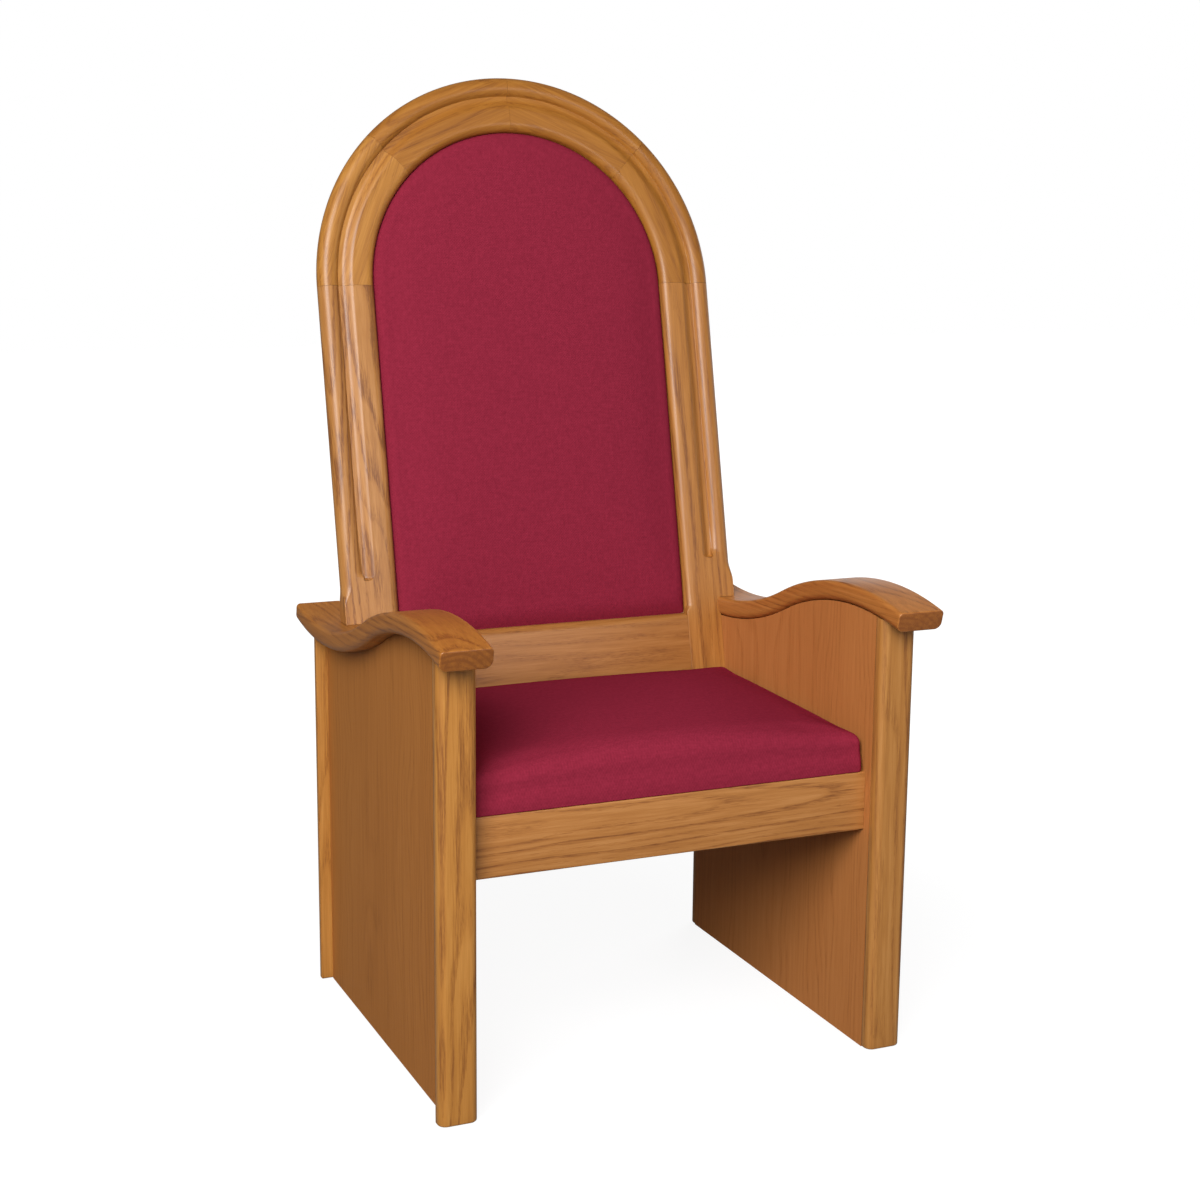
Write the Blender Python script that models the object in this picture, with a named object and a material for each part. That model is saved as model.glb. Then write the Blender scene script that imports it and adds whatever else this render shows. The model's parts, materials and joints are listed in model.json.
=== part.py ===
"""A celebrant chair in oak: slab ends with wave-shaped arm caps, an arched back and burgundy pads.

Metres, +Z up, and the sitter faces -Y. Left is -X, as seen from the front. Values named SETBACK run
rearwards from the front face of the front posts. The empty "chair" carries every piece and centres
the chair's box on the origin. The empty "back" stands on the arm caps, leans with the back and
carries the pieces of the back: there X is across, Y is the depth behind the back's front face and Z
runs up the lean.
"""

import math

import bmesh
import bpy
import numpy as np

# Joints
SEAM = 0.0003  # gap of a glue line, or between a piece and its seat
CUT_REACH = 0.060  # how far a cutter runs past the wood

# Ends
CLEAR_WIDTH = 0.600  # between the two ends
END_DEPTH = 0.586  # front face of the front post to rear face of the rear post
POST_WIDTH = 0.0555
POST_THICKNESS = 0.019
POST_ROUND = 0.012  # edges of a front post's show face
POST_REAR_ROUND = 0.003
POST_FOOT_EASE = 0.003
PANEL_BOARD = 0.01875  # one of the two boards laminated into an end

# Arm caps
ARM_WIDTH = 0.072
ARM_THICKNESS = 0.029
ARM_TOP_ROUND = 0.006
ARM_LOWER_ROUND = 0.011
ARM_INNER_LAP = 0.0045  # past the end's inner face
ARM_HEIGHT = 0.6747  # top of the crest
ARM_WAVE = 0.0929  # drop from the crest to the trough
ARM_CREST_RADIUS = 0.513
ARM_CREST_SETBACK = 0.0816
ARM_FRONT_OVERHANG = 0.0486
ARM_REAR_OVERHANG = 0.046
ARM_FRONT_EASE = 0.002
ARM_TAIL_ROUND = 0.004

# Back frame
BACK_RAKE = math.radians(12.5)
BACK_SETBACK = 0.4992  # front face of the back where it stands on the arm caps
BACK_LAP = 0.0265  # shoulder of a stile over the end
BACK_THICKNESS = 0.030
STILE_WIDTH = 0.0865
SPRING_HEIGHT = 0.5116  # shoulder to springing, up the lean
BACK_EDGE_ROUND = 0.014
OPENING_ROUND = 0.009
FLUTE_INSET = 0.037  # outer edge to the flute's centre line
FLUTE_WIDTH = 0.024
FLUTE_DEPTH = 0.0085
FLUTE_START = 0.0646  # shoulder to the flute's round lower end
TONGUE_START = 0.0256  # shoulder to where the edge round begins to swell
TONGUE_LENGTH = 0.033
EDGE_EASE = 0.001
LOWER_RAIL_DROP = 0.0214  # top of the lower back rail below the shoulder

# Back upholstery
BOARD_THICKNESS = 0.008
OUTSIDE_THICKNESS = 0.006
BOARD_LAP = 0.010  # of the back board over the opening's edge
COVER_THICKNESS = 0.0015
PAD_CLEARANCE = 0.003
PAD_CROWN = 0.012
PAD_ROUND = 0.012
PAD_DRAW = 0.002

# Seat
RAIL_TOP = 0.4124
RAIL_HEIGHT = 0.086
RAIL_THICKNESS = 0.022
RAIL_SETBACK = 0.0333
CLEAT_WIDTH = 0.020
CLEAT_HEIGHT = 0.045
BLOCK_SIDE = 0.060
BLOCK_HEIGHT = 0.045
DECK_THICKNESS = 0.012
SEAT_CLEARANCE = 0.003
SEAT_CORNER = 0.030
SEAT_INNER_CORNER = 0.010
SEAT_EDGE = 0.056  # height of the seat's sides above the rails
SEAT_CROWN = 0.026
SEAT_ROUND = 0.024
SEAT_DRAW = 0.004
ROLL_START_SHARE = 0.55  # of the seat pad's height, where its edge begins to roll over
ROLL_END_SHARE = 0.97  # of the seat pad's height, where its edge has rolled over
REAR_FALL_SHARE = 0.67  # of the seat's crown, lost at the rear

# Hidden joinery
SPLINE_THICKNESS = 0.006
SPLINE_BITE = 0.009
SPLINE_MARGIN = 0.040
DOWEL_RADIUS = 0.005
ARM_DOWEL_INSET = 0.120
ARM_DOWEL_BITE = 0.018
ARM_DOWEL_ROOT = 0.022
RAIL_DOWEL_BITE = 0.014
RAIL_DOWEL_ROOT = 0.026
RAIL_DOWEL_SPACING = 0.044
BISCUIT_MARGIN = 0.010
BISCUIT_WIDTH = 0.023
BISCUIT_THICKNESS = 0.004
BISCUIT_COVER = 0.0165  # wood in front of a biscuit
TENON_THICKNESS = 0.010
TENON_BITE = 0.022
TENON_HEIGHT = 0.060
SCREW_RADIUS = 0.0023
SCREW_HEAD_RADIUS = 0.0046
SCREW_HEAD = 0.004
BACK_SCREW_LENGTH = 0.052
BACK_SCREW_BITE = 0.014
BACK_SCREW_SPACING = 0.030
DECK_SCREW_LENGTH = 0.040
DECK_SCREW_BITE = 0.009

# Facets
CORNER_STEPS = 3
EDGE_STEPS = 5
FLUTE_STEPS = 8
ARCH_STEPS = 6
CREST_STEPS = 12
TROUGH_STEPS = 16
SIDE_STEPS = 7
CROWN_STEPS = 5
ROUND_SIDES = 12
SMOOTH_ANGLE = math.radians(35)

# Worked out from the sizes above
HALF_CLEAR = CLEAR_WIDTH / 2
BACK_HALF = HALF_CLEAR + BACK_LAP
OPENING_HALF = BACK_HALF - STILE_WIDTH
FLUTE_LINE = BACK_HALF - FLUTE_INSET
FLUTE_LIFT = (FLUTE_WIDTH**2 / 4 - FLUTE_DEPTH**2) / (2 * FLUTE_DEPTH)
LOWER_RAIL_TOP = -LOWER_RAIL_DROP
OUTSIDE_FRONT = BACK_THICKNESS - OUTSIDE_THICKNESS
BOARD_FRONT = OUTSIDE_FRONT - SEAM - BOARD_THICKNESS
REBATE_FLOOR = BOARD_FRONT - SEAM
SHOULDER_HEIGHT = ARM_HEIGHT - ARM_WAVE
TROUGH_SETBACK = BACK_SETBACK + BACK_THICKNESS / 2
WAVE_RUN = TROUGH_SETBACK - ARM_CREST_SETBACK
TROUGH_RADIUS = (WAVE_RUN**2 + ARM_WAVE**2) / (2 * ARM_WAVE) - ARM_CREST_RADIUS
CREST_CENTRE = ARM_HEIGHT - ARM_CREST_RADIUS
TROUGH_CENTRE = SHOULDER_HEIGHT + TROUGH_RADIUS
WAVE_LEAN = math.atan2(WAVE_RUN, TROUGH_CENTRE - CREST_CENTRE)
RAIL_BOTTOM = RAIL_TOP - RAIL_HEIGHT
LEG_BOTTOM = (RAIL_BOTTOM - SHOULDER_HEIGHT + BACK_THICKNESS * math.sin(BACK_RAKE)) / math.cos(BACK_RAKE)
LOWER_RAIL_BOTTOM = (RAIL_TOP - SHOULDER_HEIGHT) / math.cos(BACK_RAKE)
DECK_BOTTOM = RAIL_TOP + SEAM
DECK_TOP = DECK_BOTTOM + DECK_THICKNESS
BOARD_LINE = HALF_CLEAR + PANEL_BOARD  # between the two boards of an end
SIDES = (("left", -1), ("right", 1))

# Linear colour, roughness and metallic value of each finish
FINISHES = {
    "oak": ((0.43, 0.20, 0.075), 0.38, 0.0),
    "oak_veneer": ((0.36, 0.16, 0.060), 0.42, 0.0),
    "burgundy_fabric": ((0.22, 0.016, 0.035), 0.95, 0.0),
    "foam": ((0.75, 0.68, 0.48), 0.95, 0.0),
    "plywood": ((0.52, 0.36, 0.20), 0.70, 0.0),
    "hidden_hardwood": ((0.50, 0.34, 0.19), 0.70, 0.0),
    "beech": ((0.58, 0.38, 0.22), 0.65, 0.0),
    "zinc_steel": ((0.55, 0.54, 0.50), 0.35, 1.0),
}


def finish_material(finish):
    """The material of a finish, made on first use."""
    found = bpy.data.materials.get(finish)
    if found:
        return found
    colour, roughness, metallic = FINISHES[finish]
    made = bpy.data.materials.new(finish)
    made.use_nodes = True
    shader = made.node_tree.nodes["Principled BSDF"]
    shader.inputs["Base Color"].default_value = (*colour, 1.0)
    shader.inputs["Roughness"].default_value = roughness
    shader.inputs["Metallic"].default_value = metallic
    return made


def add_mesh(name, shape, parent):
    """A new object of (points, faces) under a parent, with its faces turned outwards."""
    points, faces = shape
    mesh = bpy.data.meshes.new(name)
    mesh.from_pydata([tuple(map(float, point)) for point in points], [], faces)
    work = bmesh.new()
    work.from_mesh(mesh)
    bmesh.ops.recalc_face_normals(work, faces=work.faces)
    work.to_mesh(mesh)
    work.free()
    made = bpy.data.objects.new(name, mesh)
    bpy.context.scene.collection.objects.link(made)
    made.parent = parent
    return made


def add_piece(name, shape, finish, parent):
    """A piece of the chair, smooth where it is round."""
    made = add_mesh(name, shape, parent)
    made.data.materials.append(finish_material(finish))
    made.data.shade_smooth()
    made.data.set_sharp_from_angle(angle=SMOOTH_ANGLE)
    return made


def add_cutter(name, shape, parent, hosts):
    """A hidden shape that is cut from each host."""
    cutter = add_mesh("cut_" + name, shape, parent)
    cutter.hide_render = True
    cutter.display_type = "WIRE"
    for host in hosts:
        modifier = host.modifiers.new(cutter.name, "BOOLEAN")
        modifier.operation = "DIFFERENCE"
        modifier.solver = "EXACT"
        modifier.object = cutter
    return cutter


def arc(centre, radius, start, stop, steps):
    """Points on an arc, angles in degrees, both ends included."""
    angles = np.radians(np.linspace(start, stop, steps + 1))
    return np.column_stack([centre[0] + radius * np.cos(angles), centre[1] + radius * np.sin(angles)])


def ring_faces(first, second, size):
    """Quads between two rings of points, given the index of each ring's first point."""
    after = [(i + 1) % size for i in range(size)]
    return [(first + i, first + after[i], second + after[i], second + i) for i in range(size)]


def loft(rings):
    """A closed solid through rings of equal length, with a flat cap on the first and the last."""
    rings = np.asarray(rings, float)
    count, size = rings.shape[:2]
    faces = [tuple(range(size)), tuple(range((count - 1) * size, count * size))]
    for k in range(count - 1):
        faces += ring_faces(k * size, (k + 1) * size, size)
    return rings.reshape(-1, 3), faces


def dome(rings, top):
    """Points and triangles of an open dome: rings from its rim towards its top, then the top point."""
    rings = np.asarray(rings, float)
    count, size = rings.shape[:2]
    faces = []
    for k in range(count - 1):
        for a, b, c, d in ring_faces(k * size, (k + 1) * size, size):
            faces += [(a, b, c), (a, c, d)]
    peak = count * size
    last = peak - size
    faces += [(last + i, last + (i + 1) % size, peak) for i in range(size)]
    return np.vstack([rings.reshape(-1, 3), [top]]), faces


def pad(rings, top):
    """A closed pad: a dome on a flat base."""
    points, faces = dome(rings, top)
    return points, [*faces, tuple(range(len(rings[0])))]


def skin(outer, inner):
    """A closed skin between two domes, each given as (rings, top)."""
    points, faces = dome(*outer)
    inner_points, inner_faces = dome(*inner)
    step = len(points)
    faces += [tuple(step + i for i in face) for face in inner_faces]
    faces += ring_faces(0, step, len(outer[0][0]))
    return np.vstack([points, inner_points]), faces


def prism(outline, axis, low, high):
    """An outline carried along axis 0, 1 or 2. Its two values are the other axes, in XYZ order."""
    outline = np.asarray(outline, float)
    return loft([np.insert(outline, axis, place, axis=1) for place in (low, high)])


def box(first, second):
    """A box between two opposite corners."""
    (x0, y0, z0), (x1, y1, z1) = first, second
    return prism([(x0, y0), (x1, y0), (x1, y1), (x0, y1)], 2, min(z0, z1), max(z0, z1))


def turned(start, direction, stations):
    """A turned shape: stations are (distance from start, radius) along a direction."""
    along = np.asarray(direction, float)
    side = np.cross(along, (0, 0, 1) if abs(along[2]) < 1 else (1, 0, 0))
    side /= np.linalg.norm(side)
    other = np.cross(along, side)
    circle = arc((0, 0), 1, 0, 360, ROUND_SIDES)[:-1]
    unit = circle[:, :1] * side + circle[:, 1:] * other
    return loft([np.asarray(start) + distance * along + radius * unit for distance, radius in stations])


def add_dowel(name, start, direction, length, hosts, parent):
    """A dowel and its hole in each host."""
    add_piece(name, turned(start, direction, [(0, DOWEL_RADIUS), (length, DOWEL_RADIUS)]), "beech", parent)
    bore = [(-SEAM, DOWEL_RADIUS + SEAM), (length + SEAM, DOWEL_RADIUS + SEAM)]
    add_cutter(name, turned(start, direction, bore), parent, hosts)


def add_screw(name, start, direction, length, access, hosts, parent):
    """A countersunk screw from its head's face at start, with its hole and a counterbore for access."""
    body = [(0, SCREW_HEAD_RADIUS), (SCREW_HEAD, SCREW_RADIUS), (length, SCREW_RADIUS)]
    add_piece(name, turned(start, direction, body), "zinc_steel", parent)
    head = SCREW_HEAD_RADIUS + SEAM
    shank = SCREW_RADIUS + SEAM
    hole = [(-access, head), (0, head), (SCREW_HEAD, shank), (length + SEAM, shank)]
    add_cutter(name, turned(start, direction, hole), parent, hosts)


def arm_line(y, rise):
    """Height of the line that lies rise above an arm cap's top, measured square to it."""
    crest = ARM_CREST_RADIUS + rise
    trough = TROUGH_RADIUS - rise
    if y < ARM_CREST_SETBACK + crest * math.sin(WAVE_LEAN):
        return CREST_CENTRE + math.sqrt(crest**2 - (y - ARM_CREST_SETBACK) ** 2)
    return TROUGH_CENTRE - math.sqrt(trough**2 - (y - TROUGH_SETBACK) ** 2)


def arm_stations():
    """Stations (y, z, lean) along an arm cap's top: a crest arc that runs into a trough arc."""
    front = math.asin((-ARM_FRONT_OVERHANG - ARM_CREST_SETBACK) / ARM_CREST_RADIUS)
    rear = math.asin((TROUGH_SETBACK - END_DEPTH - ARM_REAR_OVERHANG) / TROUGH_RADIUS)
    stations = []
    for lean in np.linspace(front, WAVE_LEAN, CREST_STEPS + 1)[:-1]:
        y = ARM_CREST_SETBACK + ARM_CREST_RADIUS * math.sin(lean)
        stations.append((y, CREST_CENTRE + ARM_CREST_RADIUS * math.cos(lean), lean))
    for lean in np.linspace(WAVE_LEAN, rear, TROUGH_STEPS + 1):
        y = TROUGH_SETBACK - TROUGH_RADIUS * math.sin(lean)
        stations.append((y, TROUGH_CENTRE - TROUGH_RADIUS * math.cos(lean), lean))
    return stations


def arm_section(inset):
    """Points (x, rise) round an arm cap's section, each side moved in by inset."""
    inner = HALF_CLEAR - ARM_INNER_LAP + inset
    outer = HALF_CLEAR - ARM_INNER_LAP + ARM_WIDTH - inset
    low = inset - ARM_THICKNESS
    upper = max(ARM_TOP_ROUND - inset, EDGE_EASE)
    lower = max(ARM_LOWER_ROUND - inset, EDGE_EASE)
    corners = [
        ((outer - upper, -inset - upper), upper, 90, 0),
        ((outer - lower, low + lower), lower, 360, 270),
        ((inner + lower, low + lower), lower, 270, 180),
        ((inner + upper, -inset - upper), upper, 180, 90),
    ]
    return np.vstack([arc(centre, radius, a, b, CORNER_STEPS) for centre, radius, a, b in corners])


def arm_ring(station, slide, inset, sign):
    """An arm cap's section set square to its top line, slid along it by a distance."""
    y, z, lean = station
    section = arm_section(inset)
    x = sign * section[:, 0]
    return np.column_stack(
        [
            x,
            y + section[:, 1] * math.sin(lean) + slide * math.cos(lean),
            z + section[:, 1] * math.cos(lean) - slide * math.sin(lean),
        ]
    )


def arm_cap(sign):
    """An arm cap: its section along the wave, eased at the front end and rounded at the tail."""
    stations = arm_stations()
    rings = [arm_ring(stations[0], 0, ARM_FRONT_EASE, sign)]
    rings.append(arm_ring(stations[0], ARM_FRONT_EASE, 0, sign))
    rings += [arm_ring(station, 0, 0, sign) for station in stations[1:-1]]
    for angle in np.radians(np.linspace(0, 90, CORNER_STEPS)):
        slide = ARM_TAIL_ROUND * (math.sin(angle) - 1)
        inset = ARM_TAIL_ROUND * (1 - math.cos(angle))
        rings.append(arm_ring(stations[-1], slide, inset, sign))
    return loft(rings)


def end_board(sign, inner, outer):
    """One board of an end, between the posts and under the arm cap."""
    front = POST_THICKNESS + SEAM
    rear = END_DEPTH - POST_THICKNESS - SEAM
    outline = [(front, 0), (rear, 0)]
    for y in np.linspace(rear, front, CREST_STEPS + TROUGH_STEPS):
        outline.append((y, arm_line(y, -ARM_THICKNESS - SEAM)))
    return prism(outline, 0, sign * inner, sign * outer)


def post(sign, facing):
    """A post with round edges on its show face; facing is 1 at the front and -1 at the rear."""
    inner, outer = HALF_CLEAR, HALF_CLEAR + POST_WIDTH
    radius = POST_ROUND if facing > 0 else POST_REAR_ROUND
    rounded = np.vstack(
        [
            [(inner, POST_THICKNESS)],
            arc((inner + radius, radius), radius, 180, 270, EDGE_STEPS),
            arc((outer - radius, radius), radius, 270, 360, EDGE_STEPS),
            [(outer, POST_THICKNESS)],
        ]
    )
    x = sign * rounded[:, 0]
    y = rounded[:, 1] if facing > 0 else END_DEPTH - rounded[:, 1]
    middle = (x.max() + x.min()) / 2, (y.max() + y.min()) / 2
    foot_x = middle[0] + (x - middle[0]) * (1 - 2 * POST_FOOT_EASE / POST_WIDTH)
    foot_y = middle[1] + (y - middle[1]) * (1 - 2 * POST_FOOT_EASE / POST_THICKNESS)
    top = [arm_line(place, -ARM_THICKNESS - SEAM) for place in y]
    return loft(
        [
            np.column_stack([foot_x, foot_y, np.zeros(len(x))]),
            np.column_stack([x, y, np.full(len(x), POST_FOOT_EASE)]),
            np.column_stack([x, y, top]),
        ]
    )


def add_post_spline(name, sign, facing, hosts, chair):
    """The spline in the joint of a post and its end, with a groove in each."""
    joint = POST_THICKNESS + SEAM / 2
    joint = joint if facing > 0 else END_DEPTH - joint
    reach = SPLINE_BITE + SEAM / 2
    top = min(arm_line(joint - reach, -ARM_THICKNESS), arm_line(joint + reach, -ARM_THICKNESS))
    half = SPLINE_THICKNESS / 2
    low = SPLINE_MARGIN
    high = top - SPLINE_MARGIN
    middle = sign * BOARD_LINE
    spline = box((middle - half, joint - reach, low), (middle + half, joint + reach, high))
    add_piece(name, spline, "beech", chair)
    half += SEAM
    reach += SEAM
    groove = box((middle - half, joint - reach, low - SEAM), (middle + half, joint + reach, high + SEAM))
    add_cutter(name, groove, chair, hosts)


def add_end(side, sign, chair):
    """One end of the chair: two laminated boards, two posts, an arm cap and their splines and dowels."""
    inner = add_piece(
        "end_inner_panel_" + side, end_board(sign, HALF_CLEAR, BOARD_LINE - SEAM / 2), "oak_veneer", chair
    )
    outer = add_piece(
        "end_outer_panel_" + side,
        end_board(sign, BOARD_LINE + SEAM / 2, BOARD_LINE + PANEL_BOARD),
        "oak_veneer",
        chair,
    )
    cap = add_piece("arm_cap_" + side, arm_cap(sign), "oak", chair)
    for place, facing in (("front", 1), ("rear", -1)):
        upright = add_piece(f"{place}_post_{side}", post(sign, facing), "oak", chair)
        add_post_spline(f"{place}_post_spline_{side}", sign, facing, (upright, inner, outer), chair)
        y = ARM_DOWEL_INSET if facing > 0 else END_DEPTH - ARM_DOWEL_INSET
        root = (sign * BOARD_LINE, y, arm_line(y, -ARM_THICKNESS) - ARM_DOWEL_ROOT)
        length = ARM_DOWEL_ROOT + ARM_DOWEL_BITE
        add_dowel(f"arm_{place}_dowel_{side}", root, (0, 0, 1), length, (inner, outer, cap), chair)
    return inner, cap


def flute_arc(half):
    """Points (distance from the centre line, depth) across the flute where it is 2 half wide.

    The flute is what a round-nosed cutter leaves that runs at one depth, so its lower end is round.
    """
    radius = math.hypot(half, FLUTE_LIFT)
    lip = math.degrees(math.asin(FLUTE_LIFT / radius))
    return arc((FLUTE_LINE, -FLUTE_LIFT), radius, 180 - lip, lip, FLUTE_STEPS)


def flat_across_flute():
    """As many points as flute_arc gives, spread over the flute's width on the plain face."""
    across = np.linspace(-FLUTE_WIDTH / 2, FLUTE_WIDTH / 2, FLUTE_STEPS + 1)
    return np.column_stack([FLUTE_LINE + across, np.zeros(FLUTE_STEPS + 1)])


def frame_section(edge_round, opening_round, flute, inner_rear):
    """Points (distance from the centre line, depth) round a stile or an arch segment."""
    inside = (OPENING_HALF + opening_round, opening_round)
    outside = BACK_HALF - edge_round
    return np.vstack(
        [
            arc(inside, opening_round, 180, 270, CORNER_STEPS),
            flute,
            arc((outside, edge_round), edge_round, 270, 360, EDGE_STEPS),
            arc((outside, BACK_THICKNESS - edge_round), edge_round, 0, 90, EDGE_STEPS),
            inner_rear,
        ]
    )


def arch_section():
    """The section of the arch: full rounds, the flute and the rebate for the boards."""
    rebate_side = OPENING_HALF + BOARD_LAP
    rebate = [(rebate_side, BACK_THICKNESS), (rebate_side, REBATE_FLOOR), (OPENING_HALF, REBATE_FLOOR)]
    return frame_section(BACK_EDGE_ROUND, OPENING_ROUND, flute_arc(FLUTE_WIDTH / 2), rebate)


def smooth_step(value, start, length):
    """0 before start, 1 after start + length, with an S-curve between."""
    share = min(max((value - start) / length, 0.0), 1.0)
    return share * share * (3 - 2 * share)


def stile_section(height):
    """The section of a stile at a height: square by the arm, swelling into the rounds and the flute."""
    swell = smooth_step(height, TONGUE_START, TONGUE_LENGTH)
    edge_round = EDGE_EASE + (BACK_EDGE_ROUND - EDGE_EASE) * swell
    opening = smooth_step(height, LOWER_RAIL_TOP, OPENING_ROUND)
    opening_round = EDGE_EASE + (OPENING_ROUND - EDGE_EASE) * opening
    below = FLUTE_START + FLUTE_WIDTH / 2 - height
    if height < FLUTE_START:
        flute = flat_across_flute()
    else:
        square = FLUTE_WIDTH**2 / 4 - max(below, 0) ** 2
        flute = flute_arc(math.sqrt(max(square, EDGE_EASE**2)))
    return frame_section(edge_round, opening_round, flute, [(OPENING_HALF, BACK_THICKNESS)])


def stile(sign):
    """A stile from its leg's foot to the springing."""
    stop = FLUTE_WIDTH / 2
    heights = [LEG_BOTTOM, FLUTE_START - EDGE_EASE, SPRING_HEIGHT - SEAM / 2]
    heights += list(LOWER_RAIL_TOP + OPENING_ROUND * np.linspace(0, 1, CORNER_STEPS))
    heights += list(TONGUE_START + TONGUE_LENGTH * np.linspace(0, 1, EDGE_STEPS))
    heights += list(FLUTE_START + stop * (1 - np.cos(np.radians(np.linspace(0, 90, EDGE_STEPS)))))
    rings = []
    for height in sorted(heights):
        section = stile_section(height)
        rings.append(np.column_stack([sign * section[:, 0], section[:, 1], np.full(len(section), height)]))
    return loft(rings)


def arch_segment(start, stop):
    """A segment of the arch between two angles in degrees, with half a seam off each end."""
    section = arch_section()
    seam = math.degrees(SEAM / 2 / BACK_HALF)
    rings = []
    for angle in np.radians(np.linspace(start + seam, stop - seam, ARCH_STEPS + 1)):
        across = section[:, 0] * math.cos(angle)
        up = SPRING_HEIGHT + section[:, 0] * math.sin(angle)
        rings.append(np.column_stack([across, section[:, 1], up]))
    return loft(rings)


def biscuit(angle, grow):
    """A flat oval biscuit across the joint at an angle of the arch."""
    inner = OPENING_HALF + BOARD_LAP + BISCUIT_MARGIN - grow
    outer = BACK_HALF - BISCUIT_MARGIN + grow
    turn = math.radians(angle)
    oval = arc((0, 0), 1, 0, 360, ROUND_SIDES)[:-1]
    away = (inner + outer) / 2 + oval[:, 0] * (outer - inner) / 2
    aside = oval[:, 1] * (BISCUIT_WIDTH / 2 + grow)
    outline = np.column_stack(
        [
            away * math.cos(turn) - aside * math.sin(turn),
            SPRING_HEIGHT + away * math.sin(turn) + aside * math.cos(turn),
        ]
    )
    return prism(outline, 1, BISCUIT_COVER - grow, BISCUIT_COVER + BISCUIT_THICKNESS + grow)


def lower_rail():
    """The lower back rail, with a round upper front edge and its share of the rebate."""
    shelf = LOWER_RAIL_TOP - BOARD_LAP
    outline = np.vstack(
        [
            [(0, LOWER_RAIL_BOTTOM)],
            arc((OPENING_ROUND, LOWER_RAIL_TOP - OPENING_ROUND), OPENING_ROUND, 180, 90, CORNER_STEPS),
            [(REBATE_FLOOR, LOWER_RAIL_TOP), (REBATE_FLOOR, shelf), (BACK_THICKNESS, shelf)],
            [(BACK_THICKNESS, LOWER_RAIL_BOTTOM)],
        ]
    )
    return prism(outline, 0, SEAM - OPENING_HALF, OPENING_HALF - SEAM)


def cut_stile(side, sign, stile_piece, cap, chair, back):
    """Cuts a stile to sit on its arm cap and hold the boards, and notches the cap round the leg."""
    rear = BACK_SETBACK + CUT_REACH
    shoulder = [(rear, RAIL_BOTTOM - CUT_REACH), (RAIL_SETBACK, RAIL_BOTTOM - CUT_REACH)]
    for y in np.linspace(RAIL_SETBACK, rear, TROUGH_STEPS):
        shoulder.append((y, arm_line(y, SEAM)))
    low, high = sign * (HALF_CLEAR - SEAM), sign * (BACK_HALF + CUT_REACH)
    add_cutter("shoulder_" + side, prism(shoulder, 0, low, high), chair, (stile_piece,))
    rebate = box(
        (sign * (OPENING_HALF - BOARD_LAP), REBATE_FLOOR, LOWER_RAIL_TOP - BOARD_LAP),
        (sign * (OPENING_HALF + BOARD_LAP), BACK_THICKNESS + CUT_REACH, SPRING_HEIGHT + BOARD_LAP),
    )
    add_cutter("rebate_" + side, rebate, back, (stile_piece,))
    notch = box(
        (sign * OPENING_HALF, -SEAM, -CUT_REACH),
        (sign * HALF_CLEAR, BACK_THICKNESS + SEAM, CUT_REACH),
    )
    add_cutter("notch_" + side, notch, back, (cap,))


def add_rail_tenon(side, sign, hosts, back):
    """The loose tenon between the lower back rail and a stile."""
    middle = BACK_THICKNESS / 2
    low = (LOWER_RAIL_BOTTOM + LOWER_RAIL_TOP - TENON_HEIGHT) / 2
    high = low + TENON_HEIGHT

    def block(grow):
        half = TENON_THICKNESS / 2 + grow
        near = sign * (OPENING_HALF - TENON_BITE - grow)
        far = sign * (OPENING_HALF + TENON_BITE + grow)
        return box((near, middle - half, low - grow), (far, middle + half, high + grow))

    name = "back_rail_tenon_" + side
    add_piece(name, block(0), "beech", back)
    add_cutter(name, block(SEAM), back, hosts)


def add_back_screws(side, sign, hosts, back):
    """Two screws from the inner edge of a stile's leg into the end."""
    middle = (LEG_BOTTOM + LOWER_RAIL_BOTTOM) / 2
    head = HALF_CLEAR + BACK_SCREW_BITE - BACK_SCREW_LENGTH
    access = head - OPENING_HALF + SCREW_HEAD
    for place, up in (("upper", 1), ("lower", -1)):
        start = (sign * head, BACK_THICKNESS / 2, middle + up * BACK_SCREW_SPACING / 2)
        name = f"back_screw_{place}_{side}"
        add_screw(name, start, (sign, 0, 0), BACK_SCREW_LENGTH, access, hosts, back)


def add_back_frame(ends, chair, back):
    """The arched frame of the back, with its biscuits, tenons and screws."""
    rail = add_piece("back_lower_rail", lower_rail(), "oak", back)
    arch = {}
    for name, start in (("lower_right", 0), ("upper_right", 45), ("upper_left", 90), ("lower_left", 135)):
        arch[name] = add_piece("arch_" + name, arch_segment(start, start + 45), "oak", back)
    joints = [("crown_biscuit", 90, (arch["upper_left"], arch["upper_right"]))]
    for side, sign in SIDES:
        panel, cap = ends[side]
        upright = add_piece("back_stile_" + side, stile(sign), "oak", back)
        cut_stile(side, sign, upright, cap, chair, back)
        add_rail_tenon(side, sign, (upright, rail), back)
        add_back_screws(side, sign, (upright, panel), back)
        springing = 90 - 90 * sign
        joints.append(("springing_biscuit_" + side, springing, (upright, arch["lower_" + side])))
        pair = (arch["lower_" + side], arch["upper_" + side])
        joints.append(("haunch_biscuit_" + side, springing + 45 * sign, pair))
    for name, angle, hosts in joints:
        add_piece(name, biscuit(angle, 0), "beech", back)
        add_cutter(name, biscuit(angle, SEAM), back, hosts)


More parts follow.
